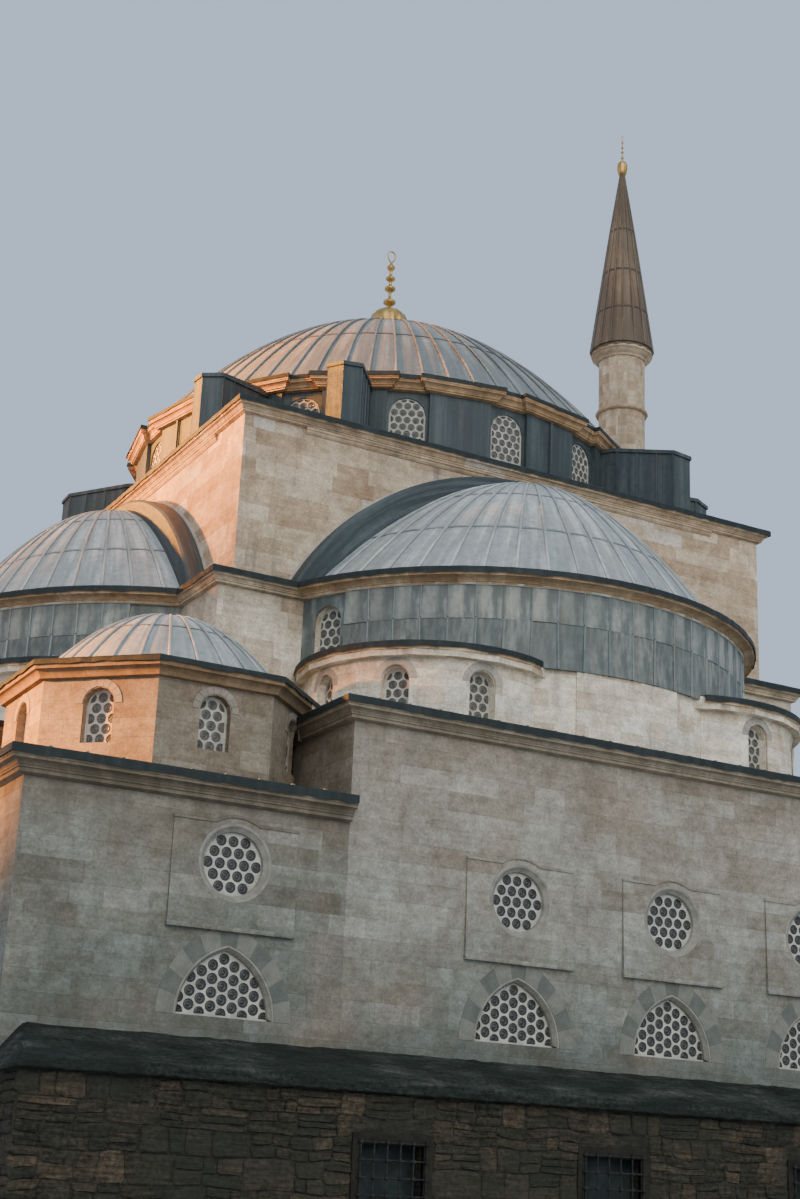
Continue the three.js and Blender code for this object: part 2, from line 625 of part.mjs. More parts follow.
const minaret = new THREE.Group();
minaret.position.set(MINARET.x, MINARET.y, 0);
mosque.add(minaret);
piece('minaret_base', minaretBase(), ashlar, minaret);
piece('minaret_shaft', minaretShaft(), ashlar, minaret);
piece('minaret_balcony', minaretBalcony(), ashlar, minaret);
piece('minaret_cap', minaretCap(), lead, minaret);
piece('minaret_finial', finial(MINARET.coneTop + GAP, MINARET.finialTop, MINARET_FINIAL), gilt, minaret);

export default mosque;
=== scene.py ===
import math
import random

import bmesh
import bpy
from mathutils import Matrix, Vector, noise


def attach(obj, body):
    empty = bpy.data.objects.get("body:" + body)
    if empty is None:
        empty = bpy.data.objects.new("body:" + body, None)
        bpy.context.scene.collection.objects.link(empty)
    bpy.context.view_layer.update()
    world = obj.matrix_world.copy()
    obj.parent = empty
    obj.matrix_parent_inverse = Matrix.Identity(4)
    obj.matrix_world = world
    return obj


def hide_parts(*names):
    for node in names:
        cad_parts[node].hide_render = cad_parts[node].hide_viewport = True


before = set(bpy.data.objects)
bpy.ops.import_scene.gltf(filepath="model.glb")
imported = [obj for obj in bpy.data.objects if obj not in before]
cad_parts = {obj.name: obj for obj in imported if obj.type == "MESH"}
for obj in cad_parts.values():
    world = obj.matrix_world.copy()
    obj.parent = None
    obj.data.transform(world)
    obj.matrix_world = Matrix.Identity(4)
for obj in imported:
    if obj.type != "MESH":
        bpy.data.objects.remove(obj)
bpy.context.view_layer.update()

# Sizes of the masonry in metres, the origin on the dome axis at street level
HALL = 12.4
BASEMENT_FACE, BASEMENT_TOP, COPING_TOP = 13.68, 3.4, 3.93
BAY_TOP, CENTRE_TOP, CENTRE_HALF = 8.05, 9.79, 6.72
PIER_OUT, PIER_TOP = 7.36, 13.49
BLOCK_HALF, BLOCK_TOP = 6.85, 17.54
DRUM_R, DRUM_TOP, DRUM_CORNICE_TOP = 6.25, 19.34, 19.64
DRUM_WINDOWS = 16
PILASTER_OUT, PILASTER_ANGLE = 0.1, 6.8
BUTTRESS_ANGLES = (33.75, 56.25)
BUTTRESS_HALF, BUTTRESS_SHOULDER, BUTTRESS_TIP = 0.37, 8.2, 8.46
BUTTRESS_TOP, BUTTRESS_INNER, BUTTRESS_INNER_TOP = 18.95, 6.65, 19.3
DOME_R, DOME_TOP = 6.39, 23.65
NICHE, NICHE_R = (0, -5.32), 5.8
HALF_DOME_R, HALF_DOME_TOP, HALF_DOME_POLE, HALF_DOME_POWER = 5.65, 16.95, -7.3, 1.8
RIM_R, RIM_Z, RIM_DEPTH = 6.27, 10.8, 0.42
EXEDRA, EXEDRA_R, EXEDRA_TOP = (3.1, -8.49), 2.47, 11.67
EXEDRA_AXIS, EXEDRA_SPAN = -134.4, 69
TURRET, TURRET_APOTHEM, TURRET_TOP = (-8.93, -8.93), 2.58, 10.16
TURRET_DOME_R, TURRET_DOME_TOP = 2.35, 11.72
WINDOW_XS = (-8.77, -3.3, 0, 3.3, 8.77)
ROUND_WINDOW_Z, ROUND_WINDOW_R = 6.71, 0.56
GRILLE_XS, GRILLE_HALF, GRILLE_SILL, GRILLE_HEAD = (-6.35, -2.2, 2.2, 6.35), 0.55, 0.95, 2.46
GRILLE_BORDER, BAR_DEPTH = 0.16, 0.065
DOOR_HALF, DOOR_CROWN = 1.0, 2.7
MINARET = (13.8654, 8.58)
CONE_FOOT, CONE_R, CONE_TOP, CONE_TIP = 30.62, 1.08, 37.92, 0.06

# Cornices: how far lip and bed stand out, and the height of both together
BAY_CORNICE = (0.28, 0.11, 0.36)
CENTRE_CORNICE = (0.25, 0.1, 0.32)
PIER_CORNICE = (0.2, 0.08, 0.26)
BLOCK_CORNICE = (0.2, 0.08, 0.26)
NICHE_CORNICE = (0.32, 0.11, 0.26)
EXEDRA_CORNICE = (0.22, 0.02, 0.25)
TURRET_EAVE = (0.2, 0.08, 0.28)

# Windows: width, sill and crown, and the directions in degrees in which they look
LOW_WINDOW = (1.672, 4.27, 5.37)
DRUM_WINDOW = (0.85, 17.99, 19.18)
NICHE_WINDOW, NICHE_ANGLES = (0.65, 12.0, 13.0), (-153, -27)
EXEDRA_WINDOW, EXEDRA_ANGLES = (0.52, 10.3, 11.27), (-173, -134, -95)
TURRET_WINDOW, TURRET_ANGLES = (0.57, 8.74, 9.71), (180, -135, -90, 135, -45)
# Lattices: discs in hexagonal order in a plaster sheet
DISC_PITCH, DISC_SHARE, DISC_SIDES = 0.215, 0.437, 12
LATTICE_DEPTH, LATTICE_BORDER = 0.034, 0.04
# Rings of a blown glass disc: share of its radius, height and tone
DISC_RINGS = ((1.02, 0.0, 0.6), (1.02, 0.01, 0.6), (0.8, 0.01, 0.05), (0.55, 0.016, 0.8), (0.38, 0.01, 0.1),
              (0.16, 0.022, 0.7))


# Camera and light
CAMERA_AT = Vector((-20.42, -39.32, 1.6))
HEADING, PITCH, ROLL = (math.radians(angle) for angle in (28.27, 18.42, 2.49))
FOCAL_PIXELS, FRAME_HEIGHT, SENSOR = 1814.2, 1199, 36.0


def set_camera():
    data = bpy.data.cameras.new("camera")
    data.sensor_width = SENSOR
    data.lens = FOCAL_PIXELS / FRAME_HEIGHT * SENSOR
    data.clip_end = 300
    camera = bpy.data.objects.new("camera", data)
    forward = Vector((math.sin(HEADING) * math.cos(PITCH), math.cos(HEADING) * math.cos(PITCH),
                      math.sin(PITCH)))
    level = Vector((math.cos(HEADING), -math.sin(HEADING), 0))
    upright = level.cross(forward)
    right = math.cos(ROLL) * level + math.sin(ROLL) * upright
    top = math.cos(ROLL) * upright - math.sin(ROLL) * level
    turn = Matrix((right, top, -forward)).transposed().to_4x4()
    camera.matrix_world = Matrix.Translation(CAMERA_AT) @ turn
    bpy.context.scene.collection.objects.link(camera)
    bpy.context.scene.camera = camera


LIGHT_REACH = 70
KEY_WAY, KEY_COLOUR = (-0.92, 0.37, 0.22), (1, 0.34, 0.03)


def shine(name, kind, direction, energy, colour, at=(0, 0, 10), **settings):
    """A light that shines from the given direction onto a point"""
    data = bpy.data.lights.new(name, kind)
    data.energy = energy
    data.color = colour
    for key, value in settings.items():
        setattr(data, key, value)
    light = bpy.data.objects.new(name, data)
    way = Vector(direction).normalized()
    light.location = way * LIGHT_REACH + Vector(at)
    light.rotation_euler = way.to_track_quat("Z", "Y").to_euler()
    bpy.context.scene.collection.objects.link(light)


def set_light():
    """An even cool sky, a soft fill from the front and a low warm key from the left, with soft spots"""
    world = bpy.data.worlds.new("studio")
    world.use_nodes = True
    backdrop = world.node_tree.nodes["Background"]
    backdrop.inputs["Color"].default_value = (0.6, 0.74, 0.94, 1)
    backdrop.inputs["Strength"].default_value = 0.9
    bpy.context.scene.world = world
    shine("warm_key", "SUN", KEY_WAY, 0.25, KEY_COLOUR, angle=math.radians(7))
    shine("front_fill", "SUN", (-0.25, -1, 0.6), 1.45, (1, 0.95, 0.87), angle=math.radians(50))
    for name, way, at, radius, power in (("dome_key", (-0.9, 0.3, 0.3), (-6.1, -0.6, 20.4), 3.6, 2.1e6),
                                         ("block_key", (-0.62, 0.77, 0.12), (-6.85, -3.9, 17.9), 4.2, 1.45e6),
                                         ("buttress_key", KEY_WAY, (-4.4, -6.7, 18.7), 1.7, 2.3e6),
                                         ("turret_key", KEY_WAY, (-11.6, -9.4, 9.2), 2.8, 2.5e6)):
        shine(name, "SPOT", way, power, KEY_COLOUR, at, spot_blend=0.6, shadow_soft_size=2,
              spot_size=2 * math.atan(radius / LIGHT_REACH))


# Node trees
def put(tree, socket, value):
    """Links a value to a socket, or sets the socket to a plain number, colour or name"""
    if isinstance(value, Value):
        value = value.socket
    if isinstance(value, bpy.types.NodeSocket):
        tree.links.new(value, socket)
    else:
        socket.default_value = value


def new_node(tree, kind, values=(), **settings):
    node = tree.nodes.new(kind)
    for key, value in settings.items():
        setattr(node, key, value)
    for key, value in dict(values).items():
        put(tree, node.inputs[key], value)
    return node


class Value:
    """A number in a node tree; each sum done with it adds a Math node"""

    def __init__(self, tree, socket):
        self.tree, self.socket = tree, socket

    def math(self, operation, *others):
        values = enumerate((self, *others))
        return Value(self.tree, new_node(self.tree, "ShaderNodeMath", values, operation=operation).outputs[0])

    def __add__(self, other):
        return self.math("ADD", other)

    def __sub__(self, other):
        return self.math("SUBTRACT", other)

    def __rsub__(self, other):
        return self * -1 + other

    def __mul__(self, other):
        return self.math("MULTIPLY", other)

    def __truediv__(self, other):
        return self.math("DIVIDE", other)

    def __gt__(self, other):
        return self.math("GREATER_THAN", other)

    def __lt__(self, other):
        return self.math("LESS_THAN", other)

    def __abs__(self):
        return self.math("ABSOLUTE")


class Graph:
    """A material's node tree, with short calls for the nodes that it uses"""

    def __init__(self, name):
        self.material = bpy.data.materials.new(name)
        self.material.use_nodes = True
        self.tree = self.material.node_tree
        self.shader = self.tree.nodes["Principled BSDF"]
        self.where = self.add("TexCoord").outputs
        self.place = self.where["Object"]

    def add(self, kind, values=(), **settings):
        return new_node(self.tree, "ShaderNode" + kind, values, **settings)

    def value(self, socket):
        return Value(self.tree, socket)

    def attribute(self, name):
        return self.value(self.add("Attribute", attribute_name=name).outputs["Fac"])

    def split(self, vector, kind="XYZ"):
        return [self.value(socket) for socket in self.add("Separate" + kind, {0: vector}).outputs]

    def combine(self, *parts):
        return self.add("CombineXYZ", enumerate(parts)).outputs[0]

    def noise(self, vector, scale, detail=3.0, roughness=0.55):
        values = {"Vector": vector, "Scale": scale, "Detail": detail, "Roughness": roughness}
        return self.value(self.add("TexNoise", values).outputs["Fac"])

    def remap(self, value, low, high, to_low=0.0, to_high=1.0):
        values = {"Value": value, "From Min": low, "From Max": high, "To Min": to_low, "To Max": to_high}
        return self.value(self.add("MapRange", values, interpolation_type="SMOOTHSTEP").outputs[0])

    def ramp(self, value, *stops):
        node = self.add("ValToRGB", {"Fac": value})
        elements = node.color_ramp.elements
        while len(elements) < len(stops):
            elements.new(0.5)
        for element, (place, colour) in zip(elements, stops):
            element.position = place
            element.color = (*colour, 1)
        return node.outputs["Color"]

    def mix(self, factor, first, second, blend="MIX"):
        node = self.add("Mix", data_type="RGBA", blend_type=blend)
        sockets = [socket for socket in node.inputs if socket.enabled]
        for socket, value in zip(sockets, (factor, first, second)):
            put(self.tree, socket, (*value, 1) if isinstance(value, tuple) else value)
        return next(socket for socket in node.outputs if socket.enabled)

    def shade(self, colour, weight, value, *stops):
        """Multiplies a colour, with the given weight, by a value's ramp or by another colour"""
        return self.mix(weight, colour, self.ramp(value, *stops) if stops else value, "MULTIPLY")

    def finish(self, colour, roughness, height, depth, metallic=0.0, specular=0.35):
        bump = self.add("Bump", {"Height": height, "Distance": depth, "Strength": 1.0})
        values = {"Base Color": colour, "Roughness": roughness, "Metallic": metallic,
                  "Specular IOR Level": specular, "Normal": bump.outputs[0]}
        for key, value in values.items():
            put(self.tree, self.shader.inputs[key], value)
        return self.material

    def span(self, by_uv):
        """Length along a wall, and height, in metres, from the UV map or from the way that the face
        looks; on level faces the plan's x and y"""
        if by_uv:
            return self.split(self.add("UVMap").outputs[0])[:2]
        normal = self.where["Normal"]
        along = self.add("VectorMath", {0: normal, 1: (0, 0, 1)}, operation="CROSS_PRODUCT").outputs["Vector"]
        length = self.add("VectorMath", {0: self.place, 1: along}, operation="DOT_PRODUCT").outputs["Value"]
        x, y, z = self.split(self.place)
        level = abs(self.split(normal)[2]) > 0.7
        upright = 1 - level
        return x * level + self.value(length) * upright, y * level + z * upright


def grey(value):
    return value, value, value


# Tone of the wall by height in metres: darker and cooler below, partly damp and partly painted shade; warmer
# and lighter above the roofs, with painted light on the band of the exedrae
CORNER_TONES = ((3.9, (0.16, 0.18, 0.16)), (5.2, (0.19, 0.205, 0.18)), (6.6, (0.22, 0.225, 0.19)),
                (8.0, (0.26, 0.228, 0.178)), (8.1, (0.28, 0.24, 0.18)), (10.2, (0.3, 0.25, 0.185)))
CENTRE_TONES = ((3.9, (0.15, 0.175, 0.16)), (5.2, (0.25, 0.26, 0.225)), (7.0, (0.35, 0.34, 0.29)),
                (9.7, (0.36, 0.325, 0.26)), (9.85, (0.92, 0.83, 0.67)), (11.6, (0.9, 0.8, 0.64)),
                (13.5, (0.6, 0.51, 0.39)), (13.6, (0.68, 0.55, 0.4)), (18.0, (0.66, 0.51, 0.36)))
# Share of soot and painted shade by height: heaviest under each cornice and along the foot of the wall, where
# shade falls
CORNER_SOOT_AND_SHADE = ((3.9, 0.5), (4.5, 0.15), (6.7, 0.12), (7.6, 0.5), (7.72, 0.8), (8.04, 0.8), (8.1, 0.2),
               (9.3, 0.1), (10.0, 0.4))
CENTRE_SOOT_AND_SHADE = ((3.9, 0.5), (4.5, 0.15), (8.7, 0.1), (9.4, 0.4), (9.7, 0.3), (9.9, 0.1), (12.6, 0.1),
               (13.2, 0.4), (13.6, 0.2), (14.2, 0.06), (16.7, 0.06), (17.25, 0.35))
TALLEST = 20
# Share of the blocks that are new and pale
NEW_BLOCKS = 0.07


def stonework(name, by_uv=False, tint=(1.0, 1.0, 1.0), course=0.34, block=0.9, contrast=1.0):
    """Coursed ashlar: faint joints, blocks of nearly one tone, a few pale new ones, bedding, and soot mixed
    with painted shade
    """
    g = Graph(name)
    length, height = g.span(by_uv)
    flat = g.combine(length, height)
    rows = (g.noise(flat, 0.5, 2.0) * 0.05 + height) / course
    row = rows.math("FLOOR")
    chance = g.value(g.add("TexWhiteNoise", {"W": row}, noise_dimensions="1D").outputs["Value"])
    along = length / block * (chance * 0.7 + 0.8) + row * 7.37
    cells = {"W": along, "Scale": 1.0, "Randomness": 0.85}
    edge = g.add("TexVoronoi", cells, voronoi_dimensions="1D", feature="DISTANCE_TO_EDGE").outputs["Distance"]
    cell = g.add("TexVoronoi", cells, voronoi_dimensions="1D", feature="F1").outputs["Color"]
    lot, draw, _ = g.split(cell, "Color")
    above = (0.5 - abs(rows.math("FRACT") - 0.5)) * course
    joints = g.remap((g.value(edge) * block).math("MINIMUM", above), 0.001, 0.009, 1.0, 0.0)

    blotches = g.noise(flat, 0.9, 6.0, 0.68)
    worn = g.noise(flat, 4.5, 5.0, 0.7)
    bedding = g.noise(g.combine(length * 1.3, height * 11.0), 1.0, 4.0, 0.6)
    grain = g.noise(flat, 19.0, 4.0, 0.7)
    clouds = g.noise(flat, 0.33, 4.0, 0.6)
    streaks = g.noise(g.combine(length * 2.6, height * 0.3), 1.0, 5.0, 0.62)

    x, y, z = g.split(g.place)
    high = z > TURRET_TOP
    corner = (abs(x).math("MINIMUM", abs(y)) > CENTRE_HALF - 0.005) * (z < TURRET_TOP)

    def by_height(stops):
        return g.ramp(z / TALLEST, *((level / TALLEST, value) for level, value in stops))
    # Tone by height: darker low down, partly damp and partly painted shade, and painted light on the exedra
    # band
    colour = g.mix(corner, by_height(CENTRE_TONES), by_height(CORNER_TONES))
    colour = g.shade(colour, high * (0.35 * contrast) + 0.6 * contrast, chance * 0.3 + lot * 0.7,
                     (0.1, (0.7, 0.62, 0.55)), (0.35, (0.9, 0.85, 0.8)), (0.55, (1.0, 1.0, 0.99)),
                     (0.75, (1.07, 1.08, 1.06)), (0.9, grey(1.24)))
    colour = g.mix((draw > 1 - NEW_BLOCKS) * (high * 0.5 + 0.08), colour, (0.88, 0.83, 0.74))
    colour = g.shade(colour, 0.9, blotches, (0.32, (0.72, 0.66, 0.59)), (0.5, (1.0, 0.99, 0.97)),
                     (0.68, grey(1.2)))
    colour = g.mix(g.remap(clouds, 0.45, 0.7, 0.0, 0.35), colour, (0.36, 0.27, 0.19))
    colour = g.shade(colour, 0.95, worn, (0.34, (0.76, 0.74, 0.71)), (0.64, grey(1.15)))
    colour = g.shade(colour, 0.35, bedding, (0.36, (0.74, 0.71, 0.68)), (0.6, grey(1.08)))
    colour = g.shade(colour, 0.8, grain, (0.34, grey(0.7)), (0.64, grey(1.16)))
    # Soot and painted shade: darkest just under each cornice and along the foot of the wall
    sooty_and_shaded = [by_height([(level, grey(share)) for level, share in stops])
             for stops in (CENTRE_SOOT_AND_SHADE, CORNER_SOOT_AND_SHADE)]
    soot_and_shade = g.split(g.mix(corner, *sooty_and_shaded), "Color")[0] * g.remap(streaks, 0.36, 0.62, 0.25, 1.0)
    colour = g.mix(soot_and_shade, colour, (0.125, 0.11, 0.08))
    runs = g.remap(streaks, 0.56, 0.7) * g.remap(clouds, 0.42, 0.6, 0.0, 0.5)
    colour = g.mix(runs, colour, (0.15, 0.135, 0.105))
    colour = g.mix(joints * g.remap(blotches, 0.35, 0.6, 0.3, 0.04), colour, (0.13, 0.12, 0.1))
    colour = g.shade(colour, 1.0, tint)
    relief = worn * 0.55 + grain * 0.2 + bedding * 0.1 + lot * 0.2 - joints * 0.2
    return g.finish(colour, g.remap(worn, 0.2, 0.8, 0.95, 0.8), relief, 0.016, specular=0.2)


def rough_stone(name, dark, middle, pale, moss):
    """Rough rubble: each stone has its own tone, with flaking layers, pits and moss"""
    g = Graph(name)
    x, y, z = g.split(g.place)
    layers = g.noise(g.combine(x, y, z * 9.0), 2.2, 5.0, 0.65)
    pits = g.noise(g.place, 14.0, 5.0, 0.7)
    damp = g.noise(g.place, 0.8, 4.0, 0.6)
    colour = g.ramp(g.attribute("tone"), (0.0, dark), (0.55, middle), (1.0, pale))
    colour = g.shade(colour, 0.9, layers, (0.33, grey(0.42)), (0.66, grey(1.45)))
    colour = g.shade(colour, 0.9, pits, (0.33, grey(0.38)), (0.62, grey(1.35)))
    colour = g.mix(g.remap(damp, 0.42, 0.62, 0.0, 0.6), colour, moss)
    return g.finish(colour, 0.93, layers * 0.8 + pits, 0.04, specular=0.15)


def lead_sheet(name, dark, pale, by_uv=True, streaked=0.6, roughness=0.5, metallic=0.15, height_axis=0.35,
               width_axis=6.0, stained=0.4):
    """Weathered lead: a grey skin with white bloom in runs, brown stains, painted shade along the seams at
    the foot of each roll and at the laps, and small dents
    """
    g = Graph(name)
    length, height = g.span(by_uv)
    sheet = g.attribute("tone")
    runs = g.noise(g.combine(length * width_axis, height * height_axis, sheet), 1.0, 5.0, 0.6)
    stains = g.noise(g.combine(length * 2.5, height * 0.5, sheet), 1.0, 4.0, 0.6)
    clouds = g.noise(g.place, 0.7, 5.0, 0.6)
    mottle = g.noise(g.place, 7.0, 5.0, 0.65)
    bloom = g.remap(runs, 0.42, 0.68) * g.remap(clouds, 0.3, 0.65, 0.35, 1.0)
    colour = g.mix(bloom * streaked, dark, pale)
    colour = g.shade(colour, 0.75, mottle, (0.3, (0.7, 0.71, 0.72)), (0.7, (1.2, 1.19, 1.17)))
    colour = g.shade(colour, 0.8, sheet, (0.0, (0.84, 0.85, 0.86)), (0.4, grey(0.92)),
                     (0.5, (1.02, 0.99, 0.96)), (1.0, (1.16, 1.16, 1.15)))
    colour = g.shade(colour, g.remap(stains, 0.5, 0.75, 0.0, stained), (1.0, 0.74, 0.58))
    # Painted shade in the creases at the foot and flanks of each roll and along the laps, read from the seam
    # attribute
    colour = g.mix(g.remap(g.attribute("seam"), 0.88, 1.0, 0.0, 0.6), colour, grey(0.035))
    return g.finish(colour, g.remap(mottle, 0.25, 0.75, roughness - 0.1, roughness + 0.15),
                    mottle * 0.5 + clouds * 0.5, 0.02, metallic=metallic)


def plain_finish(name, dark, pale, roughness, scale, metallic=0.0, depth=0.004, specular=0.4):
    """A finish of one colour, broken by wear at the given scale"""
    g = Graph(name)
    wear = g.noise(g.place, scale, 5.0, 0.6)
    fine = g.noise(g.place, scale * 6, 4.0, 0.6)
    colour = g.mix(g.remap(wear, 0.3, 0.7), dark, pale)
    colour = g.shade(colour, 0.5, fine, (0.3, grey(0.7)), (0.65, grey(1.1)))
    return g.finish(colour, g.remap(fine, 0.3, 0.7, roughness, min(1.0, roughness + 0.15)), fine, depth,
                    metallic, specular)


def blown_glass(name, *rings):
    """Dusty discs of blown glass with rings of darker and lighter tone"""
    g = Graph(name)
    dust = g.noise(g.place, 9.0, 4.0, 0.6)
    fine = g.noise(g.place, 60.0, 3.0, 0.6)
    colour = g.ramp(g.attribute("tone"), *rings)
    colour = g.shade(colour, 0.7, dust, (0.3, grey(0.6)), (0.65, grey(1.4)))
    return g.finish(colour, g.remap(dust, 0.3, 0.7, 0.22, 0.5), fine, 0.003, specular=0.5)


ASHLAR = stonework("ashlar")
ASHLAR_SKIN = stonework("ashlar_skin", by_uv=True)
MOULDING = stonework("moulded_stone", by_uv=True, tint=(0.94, 0.9, 0.83), course=5.0, block=1.3, contrast=0.8)
WARM_MOULDING = stonework("warm_moulded_stone", by_uv=True, tint=(0.86, 0.71, 0.55), course=5.0, block=1.3,
                          contrast=0.9)
DOME_LEAD = lead_sheet("dome_lead", (0.35, 0.375, 0.355), (0.76, 0.78, 0.74), stained=0.15)
MAIN_LEAD = lead_sheet("main_dome_lead", (0.2, 0.215, 0.2), (0.45, 0.46, 0.425), stained=0.45)
CONE_LEAD = lead_sheet("cone_lead", (0.13, 0.09, 0.056), (0.34, 0.235, 0.145))
WALL_LEAD = lead_sheet("wall_lead", (0.05, 0.066, 0.066), (0.19, 0.215, 0.205), streaked=0.5, roughness=0.55,
                       height_axis=0.25, metallic=0.2, stained=0.2)
NICHE_LEAD = lead_sheet("niche_lead", (0.13, 0.148, 0.133), (0.52, 0.53, 0.47), streaked=0.55, roughness=0.55,
                        height_axis=0.9, width_axis=4.0, stained=0.3)
BATTEN_LEAD = lead_sheet("batten_lead", (0.2, 0.225, 0.21), (0.45, 0.47, 0.44), stained=0.2)
DRUM_LEAD = lead_sheet("drum_lead", (0.06, 0.075, 0.074), (0.2, 0.225, 0.215), by_uv=False, streaked=0.45,
                       roughness=0.55, height_axis=0.25, metallic=0.2)
LIP_LEAD = lead_sheet("lip_lead", (0.022, 0.029, 0.027), (0.075, 0.086, 0.08), streaked=0.35, roughness=0.6,
                      metallic=0.2)
ROOF_LEAD = lead_sheet("roof_lead", (0.16, 0.18, 0.18), (0.4, 0.42, 0.41), by_uv=False, streaked=0.5)
FLASHING_LEAD = lead_sheet("flashing_lead", (0.12, 0.135, 0.135), (0.34, 0.37, 0.37), streaked=0.5)
FRAME_STONE = plain_finish("frame_stone", (0.02, 0.019, 0.015), (0.034, 0.031, 0.024), 0.95, 4.0, depth=0.01,
                           specular=0.1)
PLASTER = plain_finish("plaster", (0.38, 0.36, 0.3), (0.57, 0.54, 0.455), 0.75, 3.0)
RING_STONE = plain_finish("ring_stone", (0.22, 0.205, 0.168), (0.33, 0.305, 0.25), 0.85, 5.0)
PALE_STONE = plain_finish("pale_voussoirs", (0.172, 0.168, 0.137), (0.232, 0.222, 0.18), 0.85, 5.0)
DARK_STONE = plain_finish("dark_voussoirs", (0.113, 0.12, 0.101), (0.153, 0.155, 0.131), 0.85, 5.0)
ARCH_STONE = plain_finish("arch_stones", (0.36, 0.32, 0.26), (0.52, 0.46, 0.37), 0.88, 2.5)
TURRET_ARCH = plain_finish("turret_arch_stones", (0.22, 0.185, 0.14), (0.34, 0.29, 0.225), 0.88, 2.5)
GLASS = plain_finish("old_glass", (0.05, 0.047, 0.04), (0.13, 0.12, 0.1), 0.3, 9.0, specular=0.6)
PANE_GLASS = plain_finish("pane_glass", (0.01, 0.015, 0.014), (0.035, 0.045, 0.04), 0.45, 2.0, specular=0.2)
DISC_GLASS = blown_glass("disc_glass", (0.0, (0.024, 0.024, 0.021)), (0.5, (0.04, 0.039, 0.034)),
                         (1.0, (0.075, 0.071, 0.06)))
DUSTY_GLASS = blown_glass("dusty_disc_glass", (0.0, (0.13, 0.12, 0.098)), (0.3, (0.12, 0.11, 0.09)),
                          (0.6, (0.035, 0.034, 0.029)), (0.8, (0.19, 0.175, 0.143)))
GILT = plain_finish("gilt", (0.42, 0.25, 0.07), (0.66, 0.42, 0.15), 0.33, 6.0, metallic=1.0)
IRON = plain_finish("iron", grey(0.015), (0.05, 0.045, 0.04), 0.6, 12.0, metallic=0.5)
COPING = rough_stone("coping_stone", (0.023, 0.027, 0.022), (0.038, 0.043, 0.035), (0.072, 0.075, 0.064),
                     (0.018, 0.023, 0.018))
RUBBLE = rough_stone("rubble_stones", (0.037, 0.036, 0.026), (0.057, 0.047, 0.032), (0.088, 0.067, 0.043),
                     (0.036, 0.038, 0.028))
MORTAR = rough_stone("rubble_mortar", (0.05, 0.044, 0.032), (0.055, 0.048, 0.035), (0.06, 0.05, 0.037),
                     (0.032, 0.033, 0.025))


# Plan points and outlines
def polar(centre, radius, degrees):
    angle = math.radians(degrees)
    return centre[0] + radius * math.cos(angle), centre[1] + radius * math.sin(angle)


def direction(centre, point):
    return math.degrees(math.atan2(point[1] - centre[1], point[0] - centre[0]))


def mirrored(angle):
    """The same direction on the other side of the front's middle"""
    return -180 - angle


def arc(centre, radius, start, end, step=3.0):
    count = max(1, math.ceil(abs(end - start) / step))
    return [polar(centre, radius, start + (end - start) * k / count) for k in range(count + 1)]


def circle(radius, middle=(0, 0), sides=48):
    return [polar(middle, radius, 360 * k / sides) for k in range(sides)]


def box(u0, u1, v0, v1):
    return [(u0, v0), (u1, v0), (u1, v1), (u0, v1)]


def round_arch(width, sill, crown, inset=0.0, steps=18):
    half = width / 2 - inset
    spring = crown - width / 2
    rounding = [(half * math.cos(math.pi * k / steps), spring + half * math.sin(math.pi * k / steps))
                for k in range(steps + 1)]
    return [(-half, sill + inset), (half, sill + inset)] + rounding


def pointed_arch(width, sill, crown, inset=0.0, steps=14):
    """Two arcs that start upright at the sill and meet in a low point"""
    half, rise = width / 2, crown - sill
    radius = (half * half + rise * rise) / (2 * half)
    reach = radius - inset
    start = math.asin(max(0.0, inset) / reach)
    end = math.acos((radius - half) / reach)
    angles = [start + (end - start) * k / steps for k in range(steps + 1)]
    right = [(half - radius + reach * math.cos(a), sill + reach * math.sin(a)) for a in angles]
    return right + [(-u, v) for u, v in reversed(right[:-1])]


def area(loop):
    return sum(a[0] * b[1] - b[0] * a[1] for a, b in zip(loop, loop[1:] + loop[:1])) / 2


def clip(loop, keep):
    """The part of a loop inside a convex outline; both run counterclockwise"""
    for a, b in zip(keep, keep[1:] + keep[:1]):
        def side(p):
            return (b[0] - a[0]) * (p[1] - a[1]) - (b[1] - a[1]) * (p[0] - a[0])
        kept = []
        for p, q in zip(loop, loop[1:] + loop[:1]):
            sp, sq = side(p), side(q)
            if sp >= 0:
                kept.append(p)
            if sp * sq < 0:
                share = sp / (sp - sq)
                kept.append((p[0] + (q[0] - p[0]) * share, p[1] + (q[1] - p[1]) * share))
        loop = kept
        if not loop:
            break
    return loop


def tidy_loop(loop, least=0.004):
    return [p for p, q in zip(loop, loop[1:] + loop[:1]) if math.dist(p, q) > least]


# Mesh building
class Form:
    """Points and faces gathered for one piece, with a place in metres on the surface for each point"""

    def __init__(self, smooth=False):
        self.points, self.spans, self.tones, self.seams, self.faces = [], [], [], [], []
        self.smooth = smooth

    def add(self, points, faces, place=None, spans=None, tone=0.5, seam=0.0):
        base = len(self.points)
        self.spans += spans or [(p[0] + p[2], p[1]) for p in points]
        self.tones += tone if isinstance(tone, list) else [tone] * len(points)
        self.seams += seam if isinstance(seam, list) else [seam] * len(points)
        self.points += [place(*p) if place else p for p in points]
        self.faces += [[base + i for i in face] for face in faces]

    def mesh(self, name):
        mesh = bpy.data.meshes.new(name)
        mesh.from_pydata(self.points, [], self.faces)
        layer = mesh.uv_layers.new(name="UVMap")
        for loop in mesh.loops:
            layer.data[loop.index].uv = self.spans[loop.vertex_index]
        for title, values in (("tone", self.tones), ("seam", self.seams)):
            if len(set(values)) > 1:
                mesh.attributes.new(title, "FLOAT", "POINT").data.foreach_set("value", values)
        work = bmesh.new()
        work.from_mesh(mesh)
        bmesh.ops.remove_doubles(work, verts=work.verts, dist=0.0003)
        bmesh.ops.recalc_face_normals(work, faces=work.faces)
        work.to_mesh(mesh)
        work.free()
        mesh.polygons.foreach_set("use_smooth", [self.smooth] * len(mesh.polygons))
        return mesh


